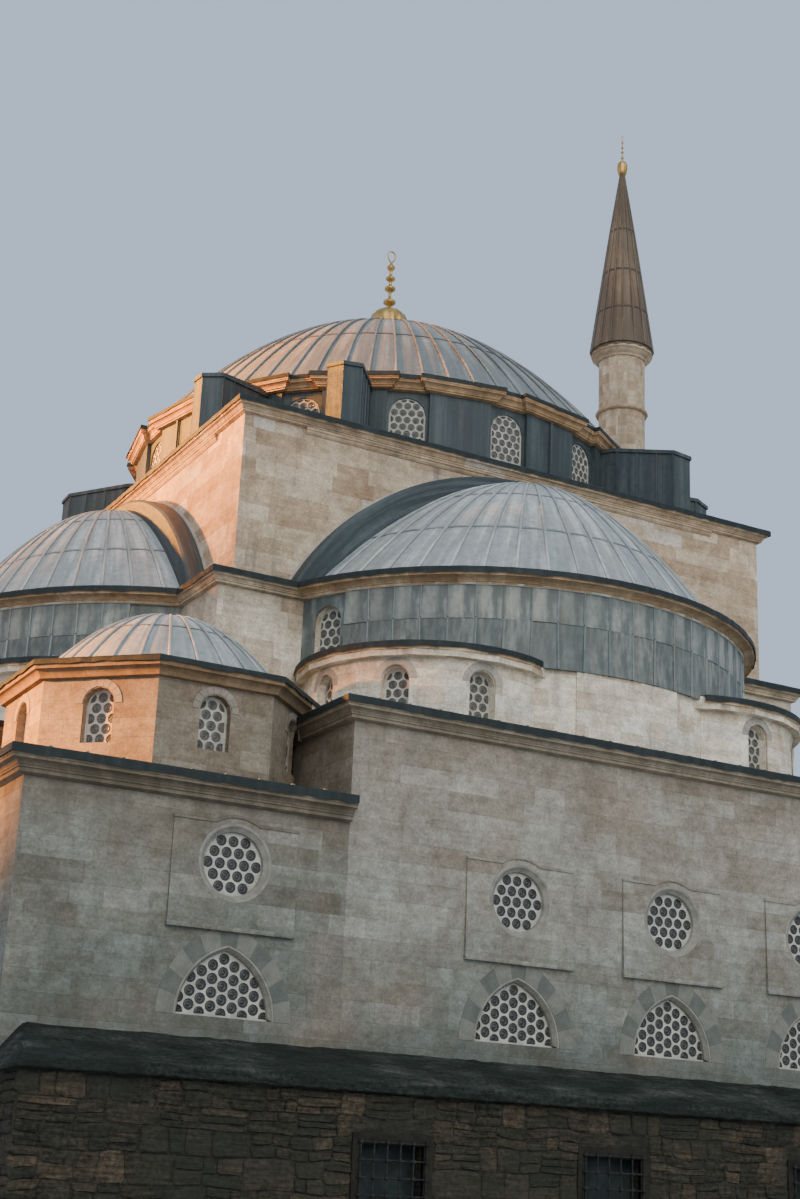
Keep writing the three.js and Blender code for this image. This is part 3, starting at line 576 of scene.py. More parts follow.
def copies_tree(vary):
    """Turned copies of a piece about an upright axis, with a tone for each copy where vary is set"""
    tree = bpy.data.node_groups.new("turned_copies", "GeometryNodeTree")
    for name, kind in (("Geometry", "Geometry"), ("Copies", "Int"), ("Step", "Float"), ("Axis", "Vector"),
                       ("Finish", "Material")):
        tree.interface.new_socket(name, in_out="INPUT", socket_type="NodeSocket" + kind)
    tree.interface.new_socket("Geometry", in_out="OUTPUT", socket_type="NodeSocketGeometry")
    given = tree.nodes.new("NodeGroupInput").outputs

    def add(kind, values=(), **settings):
        return next(s for s in new_node(tree, kind, values, **settings).outputs if s.enabled)

    points = add("GeometryNodeMeshLine", {"Count": given["Copies"], "Start Location": given["Axis"],
                                          "Offset": (0, 0, 0)}, mode="OFFSET")
    back = add("ShaderNodeVectorMath", {0: given["Axis"], "Scale": -1}, operation="SCALE")
    piece = add("GeometryNodeTransform", {"Geometry": given["Geometry"], "Translation": back})
    turn = add("ShaderNodeMath", {0: add("GeometryNodeInputIndex"), 1: given["Step"]}, operation="MULTIPLY")
    rotation = add("FunctionNodeEulerToRotation", {0: add("ShaderNodeCombineXYZ", {"Z": turn})})
    copies = add("GeometryNodeInstanceOnPoints", {"Points": points, "Instance": piece, "Rotation": rotation})
    if vary:
        chance = add("FunctionNodeRandomValue", {"Seed": 4}, data_type="FLOAT")
        copies = add("GeometryNodeStoreNamedAttribute", {"Geometry": copies, "Name": "tone", "Value": chance},
                     data_type="FLOAT", domain="INSTANCE")
    real = add("GeometryNodeRealizeInstances", {0: copies})
    real = add("GeometryNodeSetMaterial", {"Geometry": real, "Material": given["Finish"]})
    new_node(tree, "NodeGroupOutput", {0: real})
    return tree


COPIES = {vary: copies_tree(vary) for vary in (True, False)}


def turned_copies(piece, count, axis=(0, 0), vary=False):
    """Puts copies, evenly turned about the axis, in the piece's own mesh"""
    tree = COPIES[vary]
    modifier = piece.modifiers.new("copies", "NODES")
    modifier.node_group = tree
    values = {"Copies": count, "Step": 2 * math.pi / count, "Axis": (*axis, 0.0),
              "Finish": piece.data.materials[0]}
    for item in tree.interface.items_tree:
        if item.in_out == "INPUT" and item.name in values:
            modifier[item.identifier] = values[item.name]
    graph = bpy.context.evaluated_depsgraph_get()
    mesh = bpy.data.meshes.new_from_object(piece.evaluated_get(graph), preserve_all_data_layers=True,
                                           depsgraph=graph)
    piece.modifiers.clear()
    piece.data = mesh


def new_object(name, form, finish):
    piece = bpy.data.objects.new(name, form.mesh(name))
    piece.data.materials.append(finish)
    bpy.context.scene.collection.objects.link(piece)
    return piece


def hand_over(piece, slot, nodes=()):
    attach(piece, "root")
    if nodes:
        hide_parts(*nodes)
    return piece


def make(name, form, finish, slot, quarters=False, nodes=()):
    piece = new_object(name, form, finish)
    if quarters:
        turned_copies(piece, 4)
    return hand_over(piece, slot, nodes)


def plate(loops, depth, cuts=()):
    """A sheet in u and v with holes, standing from w = 0 to w = depth; cuts split it along u"""
    work = bmesh.new()
    for loop in loops:
        ring = [work.verts.new((u, v, 0)) for u, v in loop]
        for a, b in zip(ring, ring[1:] + ring[:1]):
            work.edges.new((a, b))
    bmesh.ops.triangle_fill(work, edges=work.edges[:], use_beauty=True, normal=(0, 0, 1))
    for u in cuts:
        bmesh.ops.bisect_plane(work, geom=work.verts[:] + work.edges[:] + work.faces[:], dist=1e-5,
                               plane_co=(u, 0, 0), plane_no=(1, 0, 0))
    raised = bmesh.ops.extrude_face_region(work, geom=work.faces[:], use_keep_orig=True)["geom"]
    for vertex in (item for item in raised if isinstance(item, bmesh.types.BMVert)):
        vertex.co.z += depth
    work.verts.index_update()
    points = [tuple(v.co) for v in work.verts]
    # Sorted, because the extrusion makes its side faces in a different order each run
    faces = sorted([v.index for v in face.verts] for face in work.faces)
    work.free()
    return points, faces


def on_wall(origin, azimuth, off=0.0):
    """Maps u, v and w to a flat wall whose face looks towards the azimuth"""
    outward = Vector((*polar((0, 0), 1, azimuth), 0))
    along = Vector((-outward.y, outward.x, 0))
    start = Vector((*origin, 0))

    def place(u, v, w):
        return tuple(start + along * u + outward * (w + off) + Vector((0, 0, v)))
    return place


def on_drum(centre, radius, azimuth, off=0.0):
    """Maps u, v and w to a round wall, u running counterclockwise from the azimuth"""
    def place(u, v, w):
        return (*polar(centre, radius + off + w, azimuth + math.degrees(u / radius)), v)
    return place


def even(start, end, step):
    count = max(1, math.ceil((end - start) / step))
    return [start + (end - start) * k / count for k in range(count + 1)]


def loft(form, rows, spans=None, closed=False, tone=0.5, seam=0.0, place=None):
    """Joins rows of points into a solid strip; each row is a closed loop and the ends are capped"""
    count = len(rows[0])
    points = [point for row in rows for point in row]
    faces = []
    pairs = list(zip(range(len(rows)), range(1, len(rows))))
    if closed:
        pairs.append((len(rows) - 1, 0))
    for a, b in pairs:
        for k in range(count):
            m = (k + 1) % count
            faces.append([a * count + k, a * count + m, b * count + m, b * count + k])
    if not closed:
        faces.append(list(range(count)))
        faces.append([(len(rows) - 1) * count + k for k in reversed(range(count))])
    if not spans and not place:
        spans = [(x + y, z) for x, y, z in points]
    form.add(points, faces, place, spans, tone, seam)


def mitres(path, closed):
    """Outward direction at each plan point, to the right of travel, lengthened at the corners"""
    count = len(path)
    rights = []
    for k in range(count if closed else count - 1):
        a, b = path[k], path[(k + 1) % count]
        span = math.dist(a, b)
        rights.append(((b[1] - a[1]) / span, (a[0] - b[0]) / span))
    result = []
    for k in range(count):
        before = rights[k - 1] if closed or k else rights[0]
        after = rights[k % len(rights)] if closed or k < count - 1 else rights[-1]
        share = 1 + before[0] * after[0] + before[1] * after[1]
        result.append(((before[0] + after[0]) / share, (before[1] + after[1]) / share))
    return result


def sweep(form, path, profile, top, closed=False, ragged=0.0, seed=1):
    """Carries a closed profile of out and height along a plan path; ragged shakes its lowest points"""
    chance = random.Random(seed)
    ways = mitres(path, closed)
    lowest = min(z for _, z in profile)
    rows, spans, travelled = [], [], 0.0
    for k, ((x, y), (dx, dy)) in enumerate(zip(path, ways)):
        if k:
            travelled += math.dist(path[k - 1], path[k])
        drop = chance.uniform(-ragged, ragged)
        push = chance.uniform(-ragged, ragged) * 0.4
        row = []
        for out, z in profile:
            shaken = out > 0.05
            reach = out + (push if shaken else 0)
            height = top + z + (drop if z == lowest and shaken else 0)
            row.append((x + dx * reach, y + dy * reach, height))
            spans.append((travelled, height + out))
        rows.append(row)
    loft(form, rows, spans, closed)


def finer(path, step, closed=False):
    """The same path with more points"""
    result = []
    ends = path[1:] + path[:1] if closed else path[1:]
    for a, b in zip(path, ends):
        count = max(1, round(math.dist(a, b) / step))
        result += [(a[0] + (b[0] - a[0]) * k / count, a[1] + (b[1] - a[1]) * k / count) for k in range(count)]
    return result if closed else result + [path[-1]]


def moulded(lip, bed, height):
    """Section of a stone cornice under its lead: fillet, fascia, hollow, fillet and bed"""
    hollow = [(lip - (lip - bed - 0.05) * math.sin(a), (-0.53 - 0.2 * (1 - math.cos(a))) * height)
              for a in (math.pi / 8 * j for j in range(5))]
    return [(-0.05, -0.05), (lip + 0.02, -0.05), (lip + 0.02, -0.39 * height), (lip + 0.007, -0.41 * height),
            (lip + 0.007, -0.52 * height), *hollow, (bed + 0.036, -0.75 * height),
            (bed + 0.036, -0.84 * height), (bed + 0.012, -0.86 * height), (bed + 0.012, -1.02 * height),
            (0.016, -1.1 * height), (-0.05, -1.1 * height)]


def hollowed(lip, bed, height):
    """Section of a plain stone eave: one fillet over one hollow"""
    hollow = [(lip - (lip - bed - 0.01) * math.sin(a), (-0.52 - 0.5 * (1 - math.cos(a))) * height)
              for a in (math.pi / 12 * j for j in range(7))]
    return [(-0.05, -0.04), (lip + 0.012, -0.04), (lip + 0.012, -0.5 * height), *hollow,
            (0.014, -1.06 * height), (-0.05, -1.06 * height)]


def lead_lip(lip, edge):
    return [(-0.05, 0.0), (-0.05, 0.032), (lip + 0.032, 0.028), (lip + 0.048, 0.002), (lip + 0.048, -edge),
            (lip + 0.026, 0.02 - edge), (lip + 0.022, 0.0)]


def cornice(stone, lead, path, sizes, top, edge, closed=False, seed=1, section=moulded):
    sweep(stone, path, section(*sizes), top, closed)
    sweep(lead, finer(path, 0.19, closed), lead_lip(sizes[0], edge), top, closed, ragged=0.017, seed=seed)


def exedrae():
    """Centre, middle direction and window directions of the two exedrae of the front"""
    return [((-EXEDRA[0], EXEDRA[1]), EXEDRA_AXIS, EXEDRA_ANGLES),
            (EXEDRA, mirrored(EXEDRA_AXIS), [mirrored(angle) for angle in EXEDRA_ANGLES])]


def octagon(apothem):
    corner = apothem / math.cos(math.radians(22.5))
    return [polar(TURRET, corner, 22.5 + 45 * k) for k in range(8)]


def build_cornices():
    stone, lead = Form(), Form()
    block = box(-BLOCK_HALF, BLOCK_HALF, -BLOCK_HALF, BLOCK_HALF)
    cornice(stone, lead, block, BLOCK_CORNICE, BLOCK_TOP, 0.1, closed=True)
    make("block_cornice", stone, MOULDING, "ashlar")
    make("block_cornice_lead", lead, LIP_LEAD, "lead")

    band = Form()
    band_end, band_top = 5.42, 17.265
    section = [(-0.05, 0), (0.085, 0), (0.085, -0.045), (0.06, -0.06), (0.05, -0.1), (0.02, -0.14),
               (-0.05, -0.14)]
    sweep(band, [(-band_end, -BLOCK_HALF), (band_end, -BLOCK_HALF)], section, band_top)
    make("block_bands", band, MOULDING, "ashlar", quarters=True)

    stone, lead = Form(), Form()
    side = -CENTRE_HALF
    cornice(stone, lead, [(-HALL, side), (-HALL, -HALL), (side, -HALL)], BAY_CORNICE, BAY_TOP, 0.12, seed=2)
    centre = [(side, -PIER_OUT), (side, -HALL), (-side, -HALL), (-side, -PIER_OUT)]
    cornice(stone, lead, centre, CENTRE_CORNICE, CENTRE_TOP, 0.11, seed=3)
    pier = [(-PIER_OUT, -5.45), (-PIER_OUT, -PIER_OUT), (-5.45, -PIER_OUT)]
    cornice(stone, lead, pier, PIER_CORNICE, PIER_TOP, 0.11, seed=4)
    make("roof_cornices", stone, MOULDING, "ashlar", quarters=True)
    make("roof_cornice_lead", lead, LIP_LEAD, "lead", quarters=True)

    stone, lead = Form(), Form()
    cornice(stone, lead, octagon(TURRET_APOTHEM), TURRET_EAVE, TURRET_TOP, 0.07, closed=True, seed=5,
            section=hollowed)
    make("turret_eaves", stone, WARM_MOULDING, "ashlar", quarters=True)
    make("turret_eave_lead", lead, LIP_LEAD, "lead", quarters=True)

    stone, lead = Form(), Form()
    cornice(stone, lead, arc(NICHE, NICHE_R, -163, -17), NICHE_CORNICE, PIER_TOP, 0.1, seed=6)
    for k, (centre, axis, _) in enumerate(exedrae()):
        path = arc(centre, EXEDRA_R, axis - EXEDRA_SPAN, axis + EXEDRA_SPAN, 4)
        cornice(stone, lead, path, EXEDRA_CORNICE, EXEDRA_TOP, 0.1, seed=7 + k)
    make("half_drum_cornices", stone, WARM_MOULDING, "ashlar", quarters=True)
    make("half_drum_cornice_lead", lead, LIP_LEAD, "lead", quarters=True)


def drum_plan(radius, half_angle, out=PILASTER_OUT):
    points = []
    for k in range(DRUM_WINDOWS):
        middle = (k + 0.5) * 360 / DRUM_WINDOWS
        for r, angle in ((radius, -half_angle), (radius + out, -half_angle), (radius + out, half_angle),
                         (radius, half_angle)):
            points.append(polar((0, 0), r, middle + angle))
    return points


def build_drum_cornice():
    stone, lead = Form(), Form()
    height = DRUM_CORNICE_TOP - DRUM_TOP
    base = drum_plan(DRUM_R, PILASTER_ANGLE + 0.1)
    section = [(-0.3, -0.055), (0.24, -0.055), (0.24, -0.12), (0.228, -0.13), (0.228, -0.16), (0.19, -0.175),
               (0.155, -0.205), (0.135, -0.245), (0.13, -0.27), (0.105, -0.28), (0.105, -height - 0.01),
               (0.02, -height - 0.03), (-0.3, -height - 0.03)]
    sweep(stone, base, section, DRUM_CORNICE_TOP, closed=True)
    edge = [(-0.3, 0.0), (-0.3, 0.03), (0.25, 0.02), (0.264, -0.08), (0.244, -0.07), (0.238, 0.0)]
    sweep(lead, finer(base, 0.2, True), edge, DRUM_CORNICE_TOP, closed=True, ragged=0.014, seed=9)
    make("drum_cornice_moulding", stone, WARM_MOULDING, "ashlar")
    make("drum_cornice_lead", lead, LIP_LEAD, "lead")


# Lattices of plaster with discs of old glass
def hex_points(width, low, high, centre, turned=False, pitch=DISC_PITCH):
    """Disc centres; turned sets the close rows upright, as in the low windows"""
    close, wide, radius = pitch, pitch * math.sqrt(3) / 2, pitch * DISC_SHARE
    points = []
    for row in range(-12, 13):
        for k in range(-12, 13):
            a, b = (k + (row % 2) / 2) * close, row * wide
            u, v = (b, a) if turned else (a, b)
            if abs(u) < width / 2 + radius and low - radius < centre + v < high + radius:
                points.append((u, centre + v))
    return points


def lattice(outer, inner, centres, pitch=DISC_PITCH):
    """The plaster sheet and its glass, as points and faces in u, v and w"""
    holes, radius = [], pitch * DISC_SHARE
    for centre in centres:
        cut = tidy_loop(clip(circle(radius, centre, DISC_SIDES), inner))
        if len(cut) > 3 and area(cut) > 0.2 * math.pi * radius ** 2:
            holes.append(cut)
    glass = Form()
    for hole in holes:
        u0 = sum(p[0] for p in hole) / len(hole)
        v0 = sum(p[1] for p in hole) / len(hole)
        rows, tones = [], []
        for share, w, tone in DISC_RINGS:
            rows.append([(u0 + (u - u0) * share, v0 + (v - v0) * share, w) for u, v in hole])
            tones += [tone] * len(hole)
        loft(glass, rows, tone=tones)
    points, faces = plate([outer] + holes, LATTICE_DEPTH)
    return (points, faces, 0.5), (glass.points, glass.faces, glass.tones)


def window_kinds():
    """Sheet and glass of each kind of window"""
    z = ROUND_WINDOW_Z
    kinds = {"low": lattice(pointed_arch(*LOW_WINDOW), pointed_arch(*LOW_WINDOW, inset=LATTICE_BORDER),
                            hex_points(*LOW_WINDOW, 4.98, True)),
             "round": lattice(circle(ROUND_WINDOW_R, (0, z)), circle(ROUND_WINDOW_R - 0.045, (0, z)),
                              hex_points(1.2, z - 0.6, z + 0.6, z))}
    for name, size, middle, pitch in (("drum", DRUM_WINDOW, 18.98, 0.2), ("niche", NICHE_WINDOW, 12.84, 0.21),
                                      ("exedra", EXEDRA_WINDOW, 11.11, 0.2),
                                      ("turret", TURRET_WINDOW, 9.56, 0.21)):
        kinds[name] = lattice(round_arch(*size), round_arch(*size, inset=LATTICE_BORDER),
                              hex_points(*size, middle, pitch=pitch), pitch)
    return kinds


def window_places():
    """Kind and place of each window of one quarter, set back in its opening"""
    places = [(kind, on_wall((x, -HALL), -90, back)) for kind, back in (("low", -0.17), ("round", -0.13))
              for x in WINDOW_XS]
    places += [("niche", on_wall(polar(NICHE, NICHE_R, angle), angle, -0.17)) for angle in NICHE_ANGLES]
    for centre, _, angles in exedrae():
        places += [("exedra", on_wall(polar(centre, EXEDRA_R, angle), angle, -0.2)) for angle in angles]
    places += [("turret", on_wall(polar(TURRET, TURRET_APOTHEM, angle), angle, -0.19))
               for angle in TURRET_ANGLES]
    return places


def build_windows():
    kinds = window_kinds()
    groups = {"hall": ("low", "round"), "half_drum": ("niche", "exedra"), "turret": ("turret",)}
    parts = (("lattices", PLASTER, "plaster", 0.0), ("discs", DUSTY_GLASS, "glass", 0.008))
    for group, members in groups.items():
        for part, (ending, finish, slot, lift) in enumerate(parts):
            form = Form()
            for kind, place in window_places():
                if kind in members:
                    points, faces, tone = kinds[kind][part]
                    form.add(points, faces, lambda u, v, w: place(u, v, w + lift), tone=tone)
            if group == "hall" and finish == DUSTY_GLASS:
                finish = DISC_GLASS
            make(f"{group}_{ending}", form, finish, slot, quarters=True)
    facet = DRUM_R * math.cos(math.radians(180 / DRUM_WINDOWS - PILASTER_ANGLE))
    for part, (ending, finish, slot, lift) in enumerate(parts):
        form = Form()
        points, faces, tone = kinds["drum"][part]
        form.add(points, faces, on_wall((facet, 0), 0, lift - 0.07), tone=tone)
        piece = new_object("drum_" + ending, form, finish)
        turned_copies(piece, DRUM_WINDOWS)
        hand_over(piece, slot)


def ring_of_points(shape, sections):
    """Rows for a band that follows an outline: for each of its points, the section's inset and w"""
    loops = [shape(inset) for inset, _ in sections]
    return [[(*loops[j][k], sections[j][1]) for j in range(len(sections))] for k in range(len(loops[0]))]


def arch_stones(form, place, radius, spring, width, count, proud=0.012):
    """Wedge stones round a half-round arch, with open joints"""
    gap = 0.5
    for k in range(count):
        start, end = 180 * k / count + gap, 180 * (k + 1) / count - gap
        inner = arc((0, spring), radius, start, end, 8)
        outer = arc((0, spring), radius + width, start, end, 8)
        loop = outer + inner[::-1]
        form.add(*plate([loop], proud), place=place, tone=0.2 + 0.6 * (k * 0.618 % 1))


def build_hall_window_stones():
    """Round mouldings, plaster borders, wedge stones and the sloping panels round the hall windows"""
    rings, pale, dark, ledges, panels = Form(), Form(), Form(), Form(), Form()
    half, low, high = 1.105, 5.64, 7.36
    edge = half + 0.012
    centre, bump = (0, ROUND_WINDOW_Z), 0.76
    reach = math.degrees(math.asin((high - ROUND_WINDOW_Z) / bump))
    head = arc(centre, bump, reach, 180 - reach, 6)
    panel = [(-half, low), (half, low), (half, high)] + head + [(-half, high)]
    moulding = ((0.0, -0.05), (0.0, 0.035), (0.02, 0.05), (0.05, 0.045), (0.075, 0.015), (0.125, -0.03),
                (0.135, -0.1), (0.11, -0.16))
    border = ((-0.03, -0.1), (-0.03, 0.004), (0.0, 0.004), (0.05, -0.08), (0.05, -0.16), (0.0, -0.2))
    hood = [(0.0, -0.02), (0.045, -0.02), (0.05, 0.012), (0.0, 0.035)]
    sill = [(0.0, -0.035), (0.085, -0.03), (0.09, 0.0), (0.05, 0.06), (0.0, 0.07)]
    wedges, steps = 11, 22
    inner, outer = [pointed_arch(*LOW_WINDOW, inset=inset, steps=steps) for inset in (-0.035, -0.33)]
    stones = (len(inner) - 1) / wedges

    def disc(inset):
        return circle(0.65 - inset, centre)

    def arch(inset):
        return pointed_arch(*LOW_WINDOW, inset=inset)

    for x in WINDOW_XS:
        place = on_wall((x, -HALL), -90)
        panels.add(*plate([panel, circle(0.63, centre)], 0.06),
                   lambda u, v, w: place(u, v, w * (1 - 0.6 * (v - low) / (high - low))))
        loft(rings, ring_of_points(disc, moulding), closed=True, place=place)
        loft(rings, ring_of_points(arch, border), place=place)
        for k in range(wedges):
            a, b = round(k * stones), round((k + 1) * stones)
            wedge = inner[a:b + 1] + outer[a:b + 1][::-1]
            (dark if k % 2 else pale).add(*plate([wedge[::-1]], 0.008), place)
        for line, section in (([(-edge, high)] + head[::-1] + [(edge, high)], hood),
                              ([(-edge, low), (edge, low)], sill)):
            loft(ledges, [[(u, v + rise, out) for out, rise in section] for u, v in line], place=place)
    make("hall_window_panels", panels, ASHLAR, "ashlar", quarters=True)
    make("hall_window_rings", rings, RING_STONE, "ashlar", quarters=True)
    make("pale_wedge_stones", pale, PALE_STONE, "ashlar", quarters=True)
    make("dark_wedge_stones", dark, DARK_STONE, "ashlar", quarters=True)
    make("hall_window_ledges", ledges, ASHLAR_SKIN, "ashlar", quarters=True)


# Lead domes: sheets between rolls, one gore repeated about the axis
ROLL_SECTION = ((-0.5, -0.02), (-0.46, 0.55), (-0.2, 1.0), (0.2, 1.0), (0.46, 0.55), (0.5, -0.02))
LAP_SECTION = ((-0.004, 0.0), (-0.004, 0.016), (0.005, 0.012), (0.005, 0.0))


def gore(form, profile, half_angle, roll, rise, rows, seams, thickness=0.04, columns=4):
    """One sheet and one roll; profile gives radius and height for a share from foot to crown"""
    def station(share):
        """Radius and height, and the way out of the sheet there"""
        r, z = profile(share)
        r2, z2 = profile(min(1.0, share + 0.01))
        r1, z1 = profile(max(0.0, share - 0.01))
        slope = Vector((r2 - r1, z2 - z1)).normalized()
        return r, z, slope.y, -slope.x

    def skin(across, at, lift):
        r, z, out, up = at
        return (*polar((0, 0), max(0.0, r + out * lift), math.degrees(half_angle * across)), z + up * lift)

    stations = [station(k / rows) for k in range(rows + 1)]
    lengths = [0.0]
    for a, b in zip(stations, stations[1:]):
        lengths.append(lengths[-1] + math.dist(a[:2], b[:2]))
    line = [2 * j / columns - 1 for j in range(columns + 1)]

    sheet, spans = [], []
    for at, length in zip(stations, lengths):
        upper = [skin(across, at, 0.012 + 0.012 * (1 - across * across)) for across in line]
        lower = [skin(across, at, -thickness) for across in line]
        sheet.append(upper + lower[::-1])
        places = [(half_angle * across * at[0], length) for across in line]
        spans += places + places[::-1]
    # Sheet edges get seam value 1, which the lead finish darkens as painted shade beside the roll
    edges = [1.0] + [0.0] * (columns - 1) + [1.0]
    loft(form, sheet, spans, seam=2 * edges * (rows + 1))

    beads, spans = [], []
    outward = Vector((math.cos(half_angle), math.sin(half_angle), 0))
    along = Vector((-outward.y, outward.x, 0))
    for (r, z, out, up), length in zip(stations, lengths):
        width = min(roll, 0.7 * half_angle * r)
        height = rise * width / roll
        base = outward * r + Vector((0, 0, z))
        normal = outward * out + Vector((0, 0, up))
        beads.append([tuple(base + along * (s * width) + normal * (0.012 + h * height))
                      for s, h in ROLL_SECTION])
        spans += [(half_angle * r + s * width, length) for s, _ in ROLL_SECTION]
    # The roll's foot and flanks get seam values that the lead finish darkens as painted shade
    loft(form, beads, spans, seam=[1.0, 0.95, 0.5, 0.5, 0.95, 1.0] * (rows + 1))

    for seam in seams:
        lap, spans = [], []
        for across in (0.96 * across for across in line):
            lift = 0.014 + 0.012 * (1 - across * across)
            lap.append([skin(across, station(seam + step), lift + h) for step, h in LAP_SECTION])
            spans += [(half_angle * across * profile(seam + step)[0], seam + step) for step, _ in LAP_SECTION]
        # The lap gets a seam value that the lead finish darkens as painted shade
        loft(form, lap, spans, seam=0.95)


def ribbed_dome(name, profile, gores, roll, rise, rows, seams, centre=(0, 0), finish=DOME_LEAD):
    form = Form()
    gore(form, profile, math.pi / gores, roll, rise, rows, seams)
    form.points = [(x + centre[0], y + centre[1], z) for x, y, z in form.points]
    piece = new_object(name, form, finish)
    turned_copies(piece, gores, centre, vary=True)
    return piece


def cut_off(piece, point, normal):
    """Takes away what lies past a plane and closes the cut"""
    work = bmesh.new()
    work.from_mesh(piece.data)
    cut = bmesh.ops.bisect_plane(work, geom=work.verts[:] + work.edges[:] + work.faces[:], dist=1e-5,
                                 plane_co=point, plane_no=normal, clear_outer=True)
    edges = [item for item in cut["geom_cut"] if isinstance(item, bmesh.types.BMEdge)]
    bmesh.ops.holes_fill(work, edges=edges, sides=0)
    work.to_mesh(piece.data)
    work.free()


def build_domes():
    def main(share):
        r = DOME_R + 0.05 - (DOME_R - 0.2) * share
        return r, DOME_TOP - (DOME_TOP - DRUM_CORNICE_TOP) * (r / DOME_R) ** 2
    piece = ribbed_dome("main_dome_lead", main, 64, 0.06, 0.05, 20, (0.3, 0.62), finish=MAIN_LEAD)
    hand_over(piece, "lead")

    def half(share):
        r = HALF_DOME_R + 0.02 - (HALF_DOME_R - 0.1) * share
        rise = 1 - (min(r, HALF_DOME_R) / HALF_DOME_R) ** HALF_DOME_POWER
        return r, PIER_TOP + (HALF_DOME_TOP - PIER_TOP) * rise
    piece = ribbed_dome("half_dome_lead", half, 52, 0.07, 0.045, 18, (0.26, 0.55, 0.8), NICHE)
    lean = HALF_DOME_POLE - NICHE[1]
    for vertex in piece.data.vertices:
        radius = math.dist(NICHE, (vertex.co.x, vertex.co.y))
        vertex.co.y += lean * (1 - radius / HALF_DOME_R)
    cut_off(piece, (0, -BLOCK_HALF - 0.02, 0), (0, 1, 0))
    turned_copies(piece, 4)
    hand_over(piece, "lead")

    def small(share):
        r = TURRET_DOME_R + 0.03 - (TURRET_DOME_R - 0.03) * share
        return r, TURRET_DOME_TOP - (TURRET_DOME_TOP - TURRET_TOP) * (r / TURRET_DOME_R) ** 2
    piece = ribbed_dome("turret_dome_lead", small, 28, 0.06, 0.04, 10, (0.42,), TURRET)
    turned_copies(piece, 4)
    hand_over(piece, "lead")

    def cone(share):
        return CONE_R + 0.02 - (CONE_R - CONE_TIP) * share, CONE_FOOT + (CONE_TOP - CONE_FOOT) * share
    piece = ribbed_dome("minaret_cone_lead", cone, 16, 0.06, 0.035, 8, (0.2, 0.42, 0.66), MINARET, CONE_LEAD)
    hand_over(piece, "lead")


def rim_band(section):
    """A band that follows the arch of a half dome on the block's front"""
    form = Form()
    rows, spans = [], []
    for angle in (math.radians(20 + 140 * k / 72) for k in range(73)):
        spans += [(depth + radius, RIM_R * angle) for radius, depth in section]
        rows.append([(radius * math.cos(angle), -BLOCK_HALF - depth, RIM_Z + radius * math.sin(angle))
                     for radius, depth in section])
    loft(form, rows, spans)
    return form


def build_rims():
    """Lead rims of the half domes and the line of mortar round them, cut level at their foot"""
    inside = 5.6
    lead = ((inside, 0.02), (RIM_R + 0.03, 0.0), (RIM_R + 0.045, 0.06), (RIM_R + 0.03, RIM_DEPTH),
            (RIM_R - 0.03, RIM_DEPTH + 0.03), (inside, RIM_DEPTH + 0.03))
    mortar = ((RIM_R, 0.0), (RIM_R + 0.1, -0.01), (RIM_R + 0.085, 0.018), (RIM_R, 0.05))
    for name, section, finish, slot in (("half_dome_rims", lead, WALL_LEAD, "lead"),
                                        ("rim_mortar_lines", mortar, ARCH_STONE, "ashlar")):
        piece = new_object(name, rim_band(section), finish)
        cut_off(piece, (0, 0, PIER_TOP), (0, 0, -1))
        turned_copies(piece, 4)
        hand_over(piece, slot)


def half_drum_sheets(lead, battens, low, seam, high):
    """Two rows of lead sheets with a batten at each joint, and plain sheets round the outer windows;
    gives back the plaster fillet above them"""
    chance = random.Random(11)
    start, end, sheets, deep = -148.8, -31.2, 22, 0.07
    step = (end - start) / sheets
    half = math.radians(step / 2) * NICHE_R
    section = ((-0.022, 0), (-0.018, deep + 0.024), (0, deep + 0.036), (0.018, deep + 0.024), (0.022, 0))
    for k in range(sheets):
        place = on_drum(NICHE, NICHE_R, start + (k + 0.5) * step)
        for z0, z1, out, tone in ((low, seam + 0.02, deep, 0.0), (seam - 0.02, high, deep + 0.014, 0.5)):
            points, faces = plate([box(0.004 - half, half - 0.004, z0, z1)],
                                  out + chance.uniform(-0.006, 0.006), cuts=(-half / 2, 0, half / 2))
            lead.add(points, faces, place, tone=tone + chance.uniform(0, 0.5))
        for z0, z1 in ((low, seam - 0.015), (seam + 0.01, high)):
            lean = chance.uniform(-0.012, 0.012)
            loft(battens, [[place(half + lean * side + u, z, w) for u, w in section]
                           for side, z in ((-1, z0), (1, z1))], tone=chance.random())
    near, far = math.radians(4.2) * NICHE_R, math.radians(7.6) * NICHE_R
    for middle, u0, u1 in zip(NICHE_ANGLES, (-far, -near), (near, far)):
        loops = [box(u0, u1, low, high), round_arch(*NICHE_WINDOW)]
        points, faces = plate(loops, 0.03, cuts=even(u0, u1, 0.12)[1:-1])
        lead.add(points, faces, on_drum(NICHE, NICHE_R, middle), tone=0.1)
    fillet = Form()
    sweep(fillet, finer(arc(NICHE, NICHE_R, start - 9, end + 9), 0.13),
          [(-0.02, 0.0), (deep + 0.05, 0.0), (deep + 0.045, -0.045), (0.02, -0.05), (-0.02, -0.05)],
          high + 0.01, ragged=0.024, seed=12)
    return fillet


